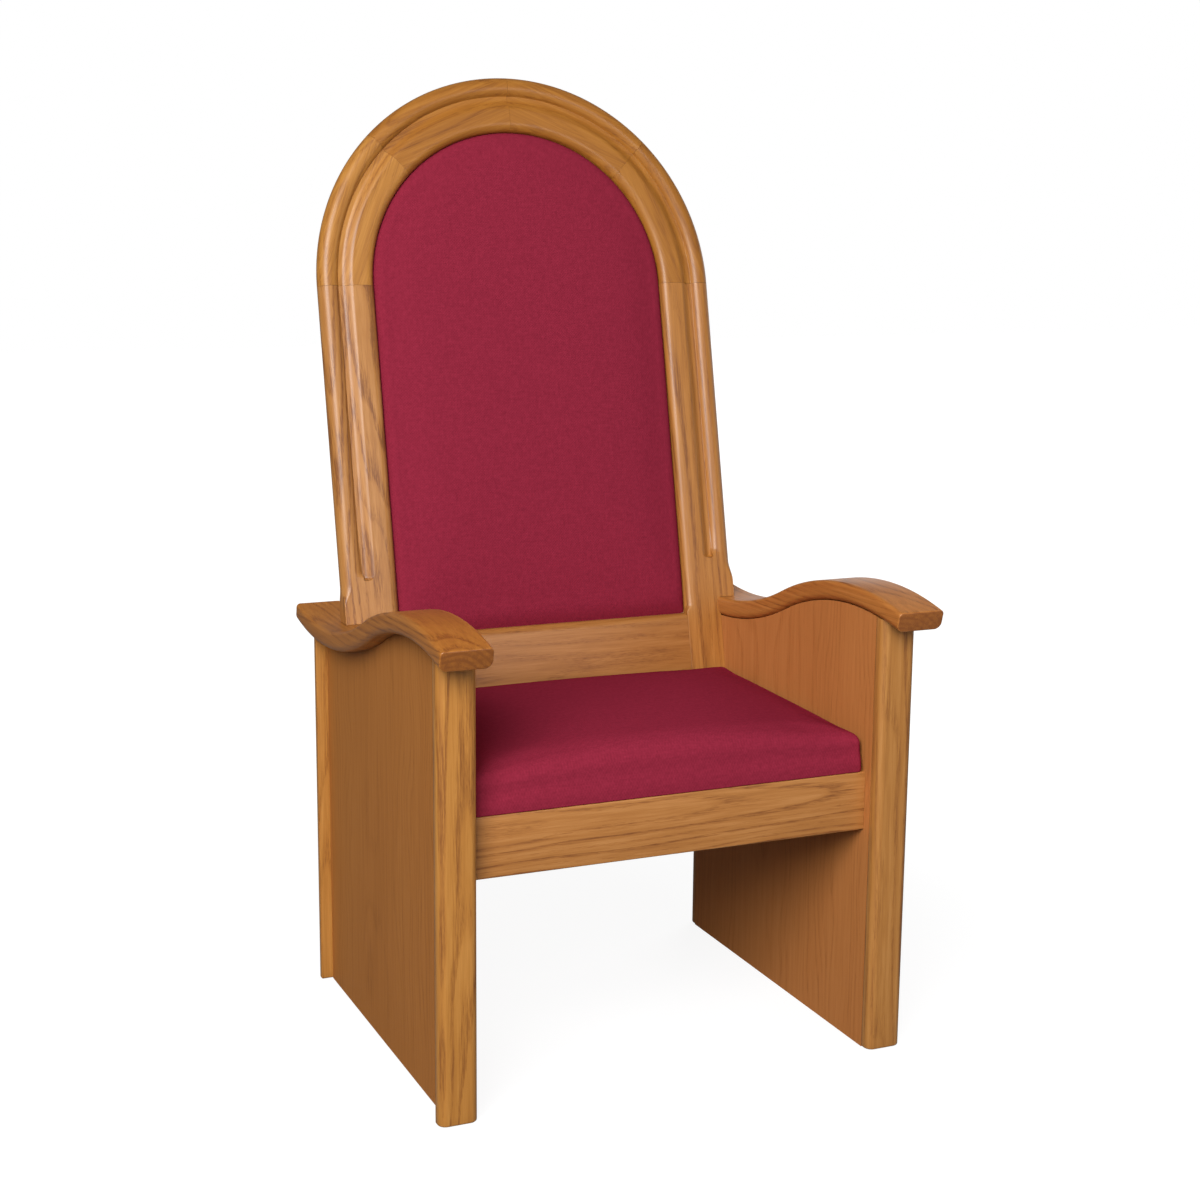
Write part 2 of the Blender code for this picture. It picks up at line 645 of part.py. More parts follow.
def arch_outline(half, bottom, draw):
    """Points (across, up) round an arch-topped outline whose straight sides pull in by draw."""
    rise = np.linspace(0, 1, ARCH_STEPS)[:-1]
    side_x = half - draw * 4 * rise * (1 - rise)
    side_z = bottom + rise * (SPRING_HEIGHT - bottom)
    top = arc((0, SPRING_HEIGHT), half, 0, 180, 4 * ARCH_STEPS)
    base = np.linspace(-half, half, ARCH_STEPS)[1:-1]
    return np.vstack(
        [
            np.column_stack([side_x, side_z]),
            top,
            np.column_stack([-side_x[::-1], side_z[::-1]]),
            np.column_stack([base, np.full(len(base), bottom)]),
        ]
    )


def back_dome(grow):
    """Rings of the back pad from its board to its crown, and its top, grown outwards by a distance."""
    half = OPENING_HALF - PAD_CLEARANCE - COVER_THICKNESS - SEAM
    bottom = LOWER_RAIL_TOP + OPENING_HALF - half
    seat = BOARD_FRONT - SEAM
    steps = [(0.0, seat)]
    for angle in np.radians(np.linspace(0, 90, CORNER_STEPS + 1)):
        steps.append((PAD_ROUND * (1 - math.cos(angle)), PAD_ROUND * (1 - math.sin(angle)) - grow))
    for inset in np.linspace(PAD_ROUND, half, CROWN_STEPS + 1)[1:-1]:
        fall = (1 - (inset - PAD_ROUND) / (half - PAD_ROUND)) ** 3
        steps.append((inset, -PAD_CROWN * (1 - fall) - grow))
    rings = []
    for inset, depth in steps:
        outline = arch_outline(half + grow - inset, bottom - grow + inset, PAD_DRAW)
        rings.append(np.insert(outline, 1, depth, axis=1))
    return rings, (0, -PAD_CROWN - grow, (SPRING_HEIGHT + bottom + half) / 2)


def add_back_upholstery(back):
    """The boards, foam and cover that fill the arched frame."""
    half = OPENING_HALF + BOARD_LAP - SEAM
    outline = arch_outline(half, LOWER_RAIL_TOP - BOARD_LAP + SEAM, 0)
    board = prism(outline, 1, BOARD_FRONT, BOARD_FRONT + BOARD_THICKNESS)
    add_piece("back_board", board, "plywood", back)
    add_piece("outside_back_panel", prism(outline, 1, OUTSIDE_FRONT, BACK_THICKNESS), "oak_veneer", back)
    add_piece("back_foam", pad(*back_dome(0)), "foam", back)
    cover = skin(back_dome(SEAM + COVER_THICKNESS), back_dome(SEAM))
    add_piece("back_cover", cover, "burgundy_fabric", back)


def back_face(z):
    """Setback of the back's front face at a height."""
    return BACK_SETBACK + (z - SHOULDER_HEIGHT) * math.tan(BACK_RAKE)


def add_corner_block(place, side, sign, y_corner, toward, deck, chair):
    """A corner block between a seat rail and a side cleat, and its screw up into the deck."""
    x = sign * (HALF_CLEAR - CLEAT_WIDTH - 2 * SEAM)
    outline = [(x, y_corner), (x - sign * BLOCK_SIDE, y_corner), (x, y_corner + toward * BLOCK_SIDE)]
    block = prism(outline, 2, RAIL_TOP - BLOCK_HEIGHT, RAIL_TOP)
    piece = add_piece(f"corner_block_{place}_{side}", block, "hidden_hardwood", chair)
    head = DECK_BOTTOM + DECK_SCREW_BITE - DECK_SCREW_LENGTH
    start = (x - sign * BLOCK_SIDE / 3, y_corner + toward * BLOCK_SIDE / 3, head)
    access = head - (RAIL_TOP - BLOCK_HEIGHT) + SCREW_HEAD
    name = f"deck_screw_{place}_{side}"
    add_screw(name, start, (0, 0, 1), DECK_SCREW_LENGTH, access, (piece, deck), chair)


def add_seat_frame(ends, deck, chair):
    """The seat rails, side cleats, corner blocks and front rail dowels."""
    half = HALF_CLEAR - SEAM
    front_inside = RAIL_SETBACK + RAIL_THICKNESS
    front = box((-half, RAIL_SETBACK, RAIL_BOTTOM), (half, front_inside, RAIL_TOP))
    front_rail = add_piece("seat_front_rail", front, "oak", chair)
    seam = SEAM / math.cos(BACK_RAKE)
    rear_front = back_face(RAIL_BOTTOM) - seam - RAIL_THICKNESS
    outline = [
        (rear_front, RAIL_BOTTOM),
        (back_face(RAIL_BOTTOM) - seam, RAIL_BOTTOM),
        (back_face(RAIL_TOP) - seam, RAIL_TOP),
        (rear_front, RAIL_TOP),
    ]
    add_piece("seat_rear_rail", prism(outline, 0, -half, half), "hidden_hardwood", chair)
    for side, sign in SIDES:
        cleat = box(
            (sign * (half - CLEAT_WIDTH), front_inside + SEAM, RAIL_TOP - CLEAT_HEIGHT),
            (sign * half, rear_front - SEAM, RAIL_TOP),
        )
        add_piece("seat_cleat_" + side, cleat, "hidden_hardwood", chair)
        add_corner_block("front", side, sign, front_inside + SEAM, 1, deck, chair)
        add_corner_block("rear", side, sign, rear_front - SEAM, -1, deck, chair)
        for place, up in (("upper", 1), ("lower", -1)):
            z = (RAIL_TOP + RAIL_BOTTOM + up * RAIL_DOWEL_SPACING) / 2
            start = (sign * (HALF_CLEAR - RAIL_DOWEL_ROOT), RAIL_SETBACK + RAIL_THICKNESS / 2, z)
            length = RAIL_DOWEL_ROOT + RAIL_DOWEL_BITE
            hosts = (front_rail, ends[side][0])
            add_dowel(f"rail_dowel_{place}_{side}", start, (sign, 0, 0), length, hosts, chair)


def seat_outline(inset, grow):
    """Points (x, y) round the seat at the rails' top, with round corners and drawn-in sides."""
    half = HALF_CLEAR - SEAT_CLEARANCE - COVER_THICKNESS - SEAM + grow - inset
    front = RAIL_SETBACK + COVER_THICKNESS + SEAM - grow + inset
    rear = back_face(RAIL_TOP) - SEAT_CLEARANCE - COVER_THICKNESS - SEAM + grow - inset
    radius = max(SEAT_CORNER - inset, SEAT_INNER_CORNER)
    points = []
    corners = [(half, front, 270), (half, rear, 0), (-half, rear, 90), (-half, front, 180)]
    for k, (x, y, start) in enumerate(corners):
        centre = (x - math.copysign(radius, x), y + (radius if y == front else -radius))
        points.append(arc(centre, radius, start, start + 90, CORNER_STEPS))
        x_next, y_next, _ = corners[(k + 1) % 4]
        share = np.linspace(0, 1, SIDE_STEPS + 1)[1:-1]
        straight = abs(x_next - x) + abs(y_next - y) - 2 * radius
        along = np.array([np.sign(x_next - x), np.sign(y_next - y)])
        points.append(points[-1][-1] + np.outer(share * straight, along))
    outline = np.vstack(points)
    length = (rear - front) / 2
    reach = np.clip((outline[:, 1] - (front + rear) / 2) / length, -1, 1)
    draw = SEAT_DRAW * (1 - reach**2) * (np.abs(outline[:, 0]) / half) ** 4
    outline[:, 0] -= np.sign(outline[:, 0]) * draw
    return outline


def seat_places(outline, share, bottom, grow):
    """Places of points (x, y) at a share of the height from the pad's bottom to its crowned top."""
    half = HALF_CLEAR - SEAT_CLEARANCE
    across = 1 - np.minimum(np.abs(outline[:, 0]) / half, 1) ** 2
    rear = back_face(RAIL_TOP) - SEAT_CLEARANCE
    back = np.clip((outline[:, 1] - RAIL_SETBACK) / (rear - RAIL_SETBACK), 0, 1)
    top = RAIL_TOP + SEAT_EDGE + grow + SEAT_CROWN * across * (1 - REAR_FALL_SHARE * back**2)
    z = bottom + share * (top - bottom)
    lean = (z - RAIL_TOP) * math.tan(BACK_RAKE) * back
    return np.column_stack([outline[:, 0], outline[:, 1] + lean, z])


def seat_dome(grow):
    """Rings of the seat pad from the deck to its crown, and its top, grown outwards by a distance."""
    bottom = DECK_TOP + SEAM
    middle = (back_face(RAIL_TOP) + RAIL_SETBACK) / 2
    span = (back_face(RAIL_TOP) - RAIL_SETBACK) / 2
    steps = [(0, 0), (0, ROLL_START_SHARE / 2)]
    for angle in np.radians(np.linspace(0, 90, CORNER_STEPS + 1)):
        rolled = ROLL_START_SHARE + (ROLL_END_SHARE - ROLL_START_SHARE) * math.sin(angle)
        steps.append((SEAT_ROUND * (1 - math.cos(angle)), rolled))
    steps += [(inset, 1) for inset in np.linspace(SEAT_ROUND, span, CROWN_STEPS + 1)[1:-1]]
    rings = [seat_places(seat_outline(inset, grow), share, bottom, grow) for inset, share in steps]
    return rings, seat_places(np.array([(0.0, middle)]), 1, bottom, grow)[0]


def add_seat_deck(chair):
    """The plywood deck that the seat pad is built on."""
    outline = seat_places(seat_outline(0, 0), 0, DECK_TOP, 0)[:, :2]
    return add_piece("seat_deck", prism(outline, 2, DECK_BOTTOM, DECK_TOP), "plywood", chair)


def add_seat_upholstery(chair):
    """The seat's foam and the cover that wraps it and the deck's edge."""
    add_piece("seat_foam", pad(*seat_dome(0)), "foam", chair)
    domes = []
    for grow in (SEAM + COVER_THICKNESS, SEAM):
        rings, top = seat_dome(grow)
        hem = rings[0].copy()
        hem[:, 2] = DECK_BOTTOM
        domes.append(([hem, *rings], top))
    add_piece("seat_cover", skin(*domes), "burgundy_fabric", chair)


def add_frame_empty(name, place, lean, parent):
    """An empty that carries pieces."""
    made = bpy.data.objects.new(name, None)
    bpy.context.scene.collection.objects.link(made)
    made.parent = parent
    made.location = place
    made.rotation_euler = (-lean, 0, 0)
    return made


def middle_setback():
    """Halfway from the arm caps' front ends to the rearmost point of the arch."""
    section = arch_section()
    up = (SPRING_HEIGHT + section[:, 0]) * math.sin(BACK_RAKE)
    rear = BACK_SETBACK + (up + section[:, 1] * math.cos(BACK_RAKE)).max()
    front = arm_ring(arm_stations()[0], 0, ARM_FRONT_EASE, 1)[:, 1].min()
    return (rear + front) / 2


def main():
    """Builds the chair."""
    for item in list(bpy.data.objects):
        bpy.data.objects.remove(item, do_unlink=True)
    chair = add_frame_empty("chair", (0, -middle_setback(), 0), 0, None)
    back = add_frame_empty("back", (0, BACK_SETBACK, SHOULDER_HEIGHT), BACK_RAKE, chair)
    ends = {side: add_end(side, sign, chair) for side, sign in SIDES}
    add_back_frame(ends, chair, back)
    add_back_upholstery(back)
    deck = add_seat_deck(chair)
    add_seat_frame(ends, deck, chair)
    add_seat_upholstery(chair)


if __name__ == "__main__":
    main()
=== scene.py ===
"""Dresses the oak celebrant chair: shaped oak boards, padded burgundy cloth, studio light and camera.

All sizes are metres in the chair's own frame: +Z is up, the sitter faces -Y and -X is the left end.
Each new piece is a numpy surface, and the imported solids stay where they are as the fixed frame.
"""

import json
import logging
import math
from dataclasses import dataclass
from enum import Enum
from typing import Union

import bpy
import numpy as np
from mathutils import Matrix, Vector


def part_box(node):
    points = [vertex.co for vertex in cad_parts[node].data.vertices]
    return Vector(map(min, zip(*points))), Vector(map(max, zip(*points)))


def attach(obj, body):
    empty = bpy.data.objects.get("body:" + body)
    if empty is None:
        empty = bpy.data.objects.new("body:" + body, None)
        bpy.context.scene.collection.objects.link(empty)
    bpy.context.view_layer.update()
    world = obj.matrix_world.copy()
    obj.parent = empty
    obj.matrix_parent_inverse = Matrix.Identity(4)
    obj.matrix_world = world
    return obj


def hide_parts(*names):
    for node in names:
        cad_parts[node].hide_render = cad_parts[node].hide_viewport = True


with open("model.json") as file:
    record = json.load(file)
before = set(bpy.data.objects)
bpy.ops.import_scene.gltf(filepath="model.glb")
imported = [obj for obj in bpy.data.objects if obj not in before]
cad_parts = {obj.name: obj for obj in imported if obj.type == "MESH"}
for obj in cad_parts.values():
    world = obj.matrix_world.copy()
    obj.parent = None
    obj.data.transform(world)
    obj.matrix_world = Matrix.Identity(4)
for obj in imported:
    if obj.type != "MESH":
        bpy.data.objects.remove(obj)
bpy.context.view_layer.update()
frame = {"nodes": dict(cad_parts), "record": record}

Array = np.ndarray
Socket = bpy.types.NodeSocket
Value = Union[Socket, float]
Colour = tuple[float, float, float]
Triple = tuple[float, float, float]

log = logging.getLogger("celebrant_chair")


class Side(Enum):
    """The two ends of the chair as the photograph shows them; the value is the sign of X."""

    LEFT = -1
    RIGHT = 1

    @property
    def word(self) -> str:
        """The side's name as the CAD nodes spell it.

        Returns:
            "left" or "right".
        """
        return self.name.lower()


class Surface:
    """Turns numpy grids into Blender objects and cuts one object with another."""

    @staticmethod
    def loft(name: str, rings: Array, crease: float = 40.0) -> bpy.types.Object:
        """Carries a closed ring of points along a row of stations and closes both ends.

        The sign of the enclosed volume tells whether the faces have to be turned over.

        Args:
            name: The object's name.
            rings: Points with the shape (stations, points round the ring, 3).
            crease: Edges that turn by more than this many degrees stay sharp.

        Returns:
            The object, linked to the scene, with its faces outward.
        """
        stations, around = rings.shape[:2]
        index = np.arange(stations * around).reshape(stations, around)
        following = np.roll(index, -1, axis=1)
        quads = np.stack([index[:-1], following[:-1], following[1:], index[1:]], axis=-1).reshape(-1, 4)
        faces = quads.tolist() + [index[0, ::-1].tolist(), index[-1].tolist()]
        points = rings.reshape(-1, 3)
        mesh = bpy.data.meshes.new(name)
        mesh.from_pydata(points.tolist(), [], faces)
        mesh.calc_loop_triangles()
        corners = np.zeros(len(mesh.loop_triangles) * 3, np.int32)
        mesh.loop_triangles.foreach_get("vertices", corners)
        one, two, three = np.moveaxis(points[corners.reshape(-1, 3)], 1, 0)
        if np.einsum("ij,ij->", one, np.cross(two, three)) < 0.0:
            mesh.flip_normals()
        mesh.validate()
        mesh.shade_smooth()
        mesh.set_sharp_from_angle(angle=math.radians(crease))
        piece = bpy.data.objects.new(name, mesh)
        bpy.context.scene.collection.objects.link(piece)
        return piece

    @staticmethod
    def settle(piece: bpy.types.Object) -> None:
        """Makes the result of the piece's modifiers its own mesh.

        Args:
            piece: The object whose modifiers are applied and cleared.
        """
        bpy.context.view_layer.update()
        evaluated = piece.evaluated_get(bpy.context.evaluated_depsgraph_get())
        mesh = bpy.data.meshes.new_from_object(evaluated)
        former = piece.data
        piece.modifiers.clear()
        piece.data = mesh
        bpy.data.meshes.remove(former)
        mesh.name = piece.name

    @staticmethod
    def carve(piece: bpy.types.Object, cutter: bpy.types.Object, crease: float = 40.0) -> None:
        """Takes the cutter's solid out of the piece and removes the cutter.

        Args:
            piece: The object that is cut.
            cutter: The closed object that is taken out of it.
            crease: Edges that turn by more than this many degrees stay sharp.
        """
        cut = piece.modifiers.new("cut", "BOOLEAN")
        cut.operation, cut.solver, cut.object = "DIFFERENCE", "EXACT", cutter
        Surface.settle(piece)
        spent = cutter.data
        bpy.data.objects.remove(cutter)
        bpy.data.meshes.remove(spent)
        piece.data.shade_smooth()
        piece.data.set_sharp_from_angle(angle=math.radians(crease))

    @staticmethod
    def arc(centre: tuple[Array, Array], radius: Array, start: float, stop: float, count: int = 9) -> Array:
        """Points on a circular arc, one arc for each row of the centre and radius.

        Args:
            centre: The two coordinates of the centre, as columns of shape (rows, 1).
            radius: The radius, as a column of shape (rows, 1).
            start: First angle in degrees.
            stop: Last angle in degrees.
            count: Points on the arc.

        Returns:
            Points with the shape (rows, count, 2).
        """
        turn = np.radians(np.linspace(start, stop, count))[None, :]
        return np.stack([centre[0] + radius * np.cos(turn), centre[1] + radius * np.sin(turn)], axis=-1)

    @staticmethod
    def rounded(across: tuple[Array, Array], upright: tuple[Array, Array], low: Array, high: Array,
                low_count: int, high_count: int) -> Array:
        """Rectangles with rounded corners, one for each row.

        Args:
            across: First coordinate of the left and the right side, as columns.
            upright: Second coordinate of the lower and the upper side, as columns.
            low: Radius of the lower corners, as a column.
            high: Radius of the upper corners, as a column.
            low_count: Points on a lower corner.
            high_count: Points on an upper corner.

        Returns:
            Points with the shape (rows, points, 2).
        """
        (left, right), (bottom, top) = across, upright
        return np.concatenate([
            Surface.arc((right - high, top - high), high, 0.0, 90.0, high_count),
            Surface.arc((left + high, top - high), high, 90.0, 180.0, high_count),
            Surface.arc((left + low, bottom + low), low, 180.0, 270.0, low_count),
            Surface.arc((right - low, bottom + low), low, 270.0, 360.0, low_count),
        ], axis=1)

    @staticmethod
    def sweep(profile: Array, along: Array) -> Array:
        """Stands a flat profile at each place along a line, square to it.

        Args:
            profile: Points with the shape (count, 2).
            along: Places along the line.

        Returns:
            Rings (place, first, second) with the shape (stations, count, 3).
        """
        shape = (len(along), len(profile))
        return np.stack([np.broadcast_to(part, shape) for part in (along[:, None], *profile.T)], axis=-1)

    @staticmethod
    def rise(values: Array, start: float, length: float) -> Array:
        """A smooth step: 0 up to the start, 1 past the start plus the length, 3t^2 - 2t^3 between.

        Args:
            values: Where the step is read.
            start: Where it begins.
            length: How long it takes.

        Returns:
            The step's height at each value.
        """
        share = np.clip((values - start) / length, 0.0, 1.0)
        return share * share * (3.0 - 2.0 * share)


class Nodes:
    """Adds shader nodes to a material or a world and joins them."""

    def __init__(self, owner: Union[bpy.types.Material, bpy.types.World], blank: bool = False) -> None:
        """Takes up the owner's node tree and, in a material, its principled shader.

        Args:
            owner: A new material or world.
            blank: Whether the nodes that come with it are removed.
        """
        owner.use_nodes = True
        self.owner, self.tree = owner, owner.node_tree
        if blank:
            self.tree.nodes.clear()
        self.shader = next((node for node in self.tree.nodes if node.type == "BSDF_PRINCIPLED"), None)

    def feed(self, socket: Socket, value: Value) -> None:
        """Joins a socket to another, or sets its own value.

        Args:
            socket: The input socket.
            value: An output socket, or a plain value.
        """
        if isinstance(value, Socket):
            self.tree.links.new(value, socket)
        else:
            socket.default_value = value

    def add(self, kind: str, inputs: dict[Union[str, int], Value], **settings: object) -> bpy.types.Node:
        """Adds a node.

        Args:
            kind: The node's type, without the leading ShaderNode.
            inputs: What goes into its inputs, by name or number.
            **settings: Its other properties.

        Returns:
            The node.
        """
        node = self.tree.nodes.new("ShaderNode" + kind)
        for key, value in settings.items():
            setattr(node, key, value)
        for key, value in inputs.items():
            self.feed(node.inputs[key], value)
        return node

    def maths(self, operation: str, *inputs: Value) -> Socket:
        """Adds a Math node.

        Args:
            operation: Its operation.
            *inputs: What goes into it.

        Returns:
            Its result.
        """
        return self.add("Math", dict(enumerate(inputs)), operation=operation).outputs[0]

    def added(self, total: Socket, part: Socket, weight: float, middle: float = 0.5) -> Socket:
        """Adds a weighted part to a total: total + weight (part - middle).

        Args:
            total: What is added to.
            part: What is added.
            weight: Its weight.
            middle: The part's value that changes nothing.

        Returns:
            The sum.
        """
        return self.maths("MULTIPLY_ADD", self.maths("SUBTRACT", part, middle), weight, total)

    def span(self, value: Socket, low: float, high: float, start: float, stop: float) -> Socket:
        """Turns one range into another with a smooth, clamped step.

        Args:
            value: What is turned.
            low: The value that gives the start.
            high: The value that gives the stop.
            start: First result.
            stop: Last result.

        Returns:
            The result.
        """
        inputs = {"Value": value, "From Min": low, "From Max": high, "To Min": start, "To Max": stop}
        return self.add("MapRange", inputs, interpolation_type="SMOOTHSTEP").outputs["Result"]

    def noise(self, vector: Socket, scale: float, detail: float, rough: float = 0.5,
              stretch: Triple = (1.0, 1.0, 1.0), shift: Triple = (0.0, 0.0, 0.0)) -> Socket:
        """Adds a 3-D noise on a scaled and shifted coordinate.

        Args:
            vector: The coordinate.
            scale: Features per metre.
            detail: Octaves past the first.
            rough: Weight of each next octave.
            stretch: Factors of the coordinate.
            shift: What is added to it after that.

        Returns:
            The noise, 0 to 1.
        """
        place = self.add("Mapping", {"Vector": vector, "Scale": stretch, "Location": shift}).outputs["Vector"]
        inputs = {"Vector": place, "Scale": scale, "Detail": detail, "Roughness": rough}
        return self.add("TexNoise", inputs).outputs["Fac"]

    def ramp(self, value: Socket, stops: dict[float, Colour]) -> Socket:
        """Adds a colour ramp.

        Args:
            value: Where the ramp is read, 0 to 1.
            stops: Linear colours by place, in rising order.

        Returns:
            The colour.
        """
        node = self.add("ValToRGB", {"Fac": value})
        elements = node.color_ramp.elements
        while len(elements) < len(stops):
            elements.new(1.0)
        for element, (place, colour) in zip(elements, stops.items()):
            element.position, element.color = place, (*colour, 1.0)
        return node.outputs["Color"]

    def bump(self, height: Socket, strength: float, distance: float) -> Socket:
        """Adds a fine relief.

        Args:
            height: Its height.
            strength: Its strength.
            distance: Real height of one unit.

        Returns:
            The bent normal.
        """
        inputs = {"Height": height, "Strength": strength, "Distance": distance}
        return self.add("Bump", inputs).outputs["Normal"]

    def cover(self, piece: bpy.types.Object, inputs: dict[str, Value]) -> None:
        """Feeds the principled shader and gives a piece the material as its only one.

        Args:
            piece: The object.
            inputs: What goes into the shader's named inputs.
        """
        for key, value in inputs.items():
            self.feed(self.shader.inputs[key], value)
        piece.data.materials.clear()
        piece.data.materials.append(self.owner)


@dataclass(frozen=True)
class Board:
    """How one board was sawn from its log.

    Attributes:
        along: Direction of the grain.
        face: Outward direction of the show face.
        middle: A point on the show face.
        depth: Distance of the log's heart behind the show face.
        aside: Distance of the heart to one side of the middle.
        tilt: Angle in degrees between the heart and the face; more of it gives shorter cathedrals.
        spacing: Mean width of a ring.
        sway: How far the rings wander.
        drift: How quickly they wander along the grain, compared with across it.
        figure: Strength of the ring lines.
        fibre: Strength of the fine streaks.
        tone: Factors of the board's colour.
    """

    along: Triple
    face: Triple
    middle: Triple
    depth: float = 0.05
    aside: float = 0.0
    tilt: float = 1.5
    spacing: float = 0.0065
    sway: float = 0.022
    drift: float = 0.28
    figure: float = 0.40
    fibre: float = 1.0
    tone: Colour = (1.0, 1.0, 1.0)

    def heart(self) -> tuple[Vector, Triple]:
        """Place and turn of the log's heart: X along it, Z towards the show face.

        Returns:
            A point on the heart, and the turn as XYZ Euler angles.
        """
        along, face = Vector(self.along).normalized(), Vector(self.face).normalized()
        across = face.cross(along).normalized()
        face = along.cross(across)
        turn = Matrix((along, across, face)).transposed()
        point = Vector(self.middle) - face * self.depth + across * self.aside
        lean = Matrix.Rotation(math.radians(self.tilt), 3, "Y")
        return point, tuple((turn @ lean).to_euler("XYZ"))


@dataclass(frozen=True)
class OakFinish:
    """Lacquered oak, figured through its whole thickness by the log's rings.

    Attributes:
        slot: The record's material slot.
        dark: Colour of the open-pored ring lines.
        brown: Colour between the lines and the body.
        body: Main colour.
        pale: Colour of the lightest wood.
        gloss: Weight of the lacquer's clear reflection.
        shine: Level of its soft reflection.
        rough: Roughness of the soft reflection.
        coat_rough: Roughness of the clear reflection.
    """

    slot: str
    dark: Colour
    brown: Colour
    body: Colour
    pale: Colour
    gloss: float = 0.42
    shine: float = 0.35
    rough: float = 0.50
    coat_rough: float = 0.29

    def dress(self, piece: bpy.types.Object, board: Board, seed: int) -> None:
        """Gives a piece oak: ring lines by distance from the log's heart, with fibres, pores and mottling.

        Args:
            piece: The object.
            board: How it was sawn.
            seed: Moves the noises, so that no two boards match.
        """
        nodes = Nodes(bpy.data.materials.new(f"{self.slot}_{piece.name}"))
        where = nodes.add("TexCoord", {}).outputs
        point, turn = board.heart()
        heart = {"Vector": where["Object"], "Location": point, "Rotation": turn}
        wood = nodes.add("Mapping", heart, vector_type="TEXTURE").outputs["Vector"]
        shift = (seed * 1.37 % 7.0, seed * 2.71 % 5.0, seed * 0.83 % 3.0)

        def grain(stretch: float, scale: float, detail: float, rough: float = 0.5) -> Socket:
            """A noise drawn out along the grain.

            Args:
                stretch: Factor of the coordinate along the grain.
                scale: Features per metre.
                detail: Octaves past the first.
                rough: Weight of each next octave.

            Returns:
                The noise.
            """
            return nodes.noise(wood, scale, detail, rough, (stretch, 1.0, 1.0), shift)

        sway, mottle = grain(board.drift, 11.0, 1.0), grain(0.28, 5.0, 2.0)
        fibre, streak = grain(0.030, 560.0, 3.0, 0.65), grain(0.035, 140.0, 2.0)
        parts = nodes.add("SeparateXYZ", {"Vector": wood}).outputs
        squares = [nodes.maths("MULTIPLY", parts[axis], parts[axis]) for axis in "YZ"]
        radius = nodes.added(nodes.maths("SQRT", nodes.maths("ADD", *squares)), sway, board.sway)
        rings = nodes.added(nodes.maths("DIVIDE", radius, board.spacing), fibre, 0.55)
        number = nodes.maths("ADD", nodes.maths("FLOOR", rings), seed * 3.1)
        chance = nodes.add("TexWhiteNoise", {"W": number}, noise_dimensions="1D").outputs["Value"]
        share = nodes.maths("FRACT", rings)
        early = nodes.maths("MULTIPLY", nodes.span(share, 0.0, 0.10, 0.0, 1.0),
                            nodes.span(share, 0.12, 0.62, 1.0, 0.0))
        line = nodes.maths("MULTIPLY", early, nodes.span(chance, 0.1, 0.9, 0.15, 1.0))
        line = nodes.maths("MULTIPLY", line, nodes.span(fibre, 0.36, 0.62, 1.25, 0.45))
        pores = nodes.maths("MULTIPLY", nodes.span(grain(0.08, 1000.0, 1.0), 0.50, 0.66, 0.0, 1.0), early)
        shade = nodes.maths("SUBTRACT", 0.70, nodes.maths("MULTIPLY", line, board.figure))
        for part, weight in ((fibre, 0.52 * board.fibre), (streak, 0.80 * board.fibre), (mottle, 0.34)):
            shade = nodes.added(shade, part, weight)
        shade = nodes.added(shade, pores, -0.5 * board.figure, 0.0)
        along = tuple(Vector(board.along).normalized())
        facing = nodes.add("VectorMath", {0: where["Normal"], 1: along}, operation="DOT_PRODUCT")
        butt = nodes.span(nodes.maths("ABSOLUTE", facing.outputs["Value"]), 0.75, 0.97, 0.0, 0.48)
        shades = {0.0: self.dark, 0.34: self.brown, 0.66: self.body, 1.0: self.pale}
        stops = {at: tuple(np.multiply(colour, board.tone)) for at, colour in shades.items()}
        dents = nodes.maths("ADD", pores, nodes.maths("MULTIPLY", line, 0.4))
        height = nodes.maths("SUBTRACT", nodes.maths("MULTIPLY", fibre, 0.25), dents)
        nodes.cover(piece, {
            "Base Color": nodes.ramp(nodes.maths("SUBTRACT", shade, butt), stops),
            "Normal": nodes.bump(height, 0.2, 0.0002),
            "Roughness": self.rough,
            "Specular IOR Level": self.shine,
            "Coat Weight": self.gloss,
            "Coat Roughness": self.coat_rough,
        })


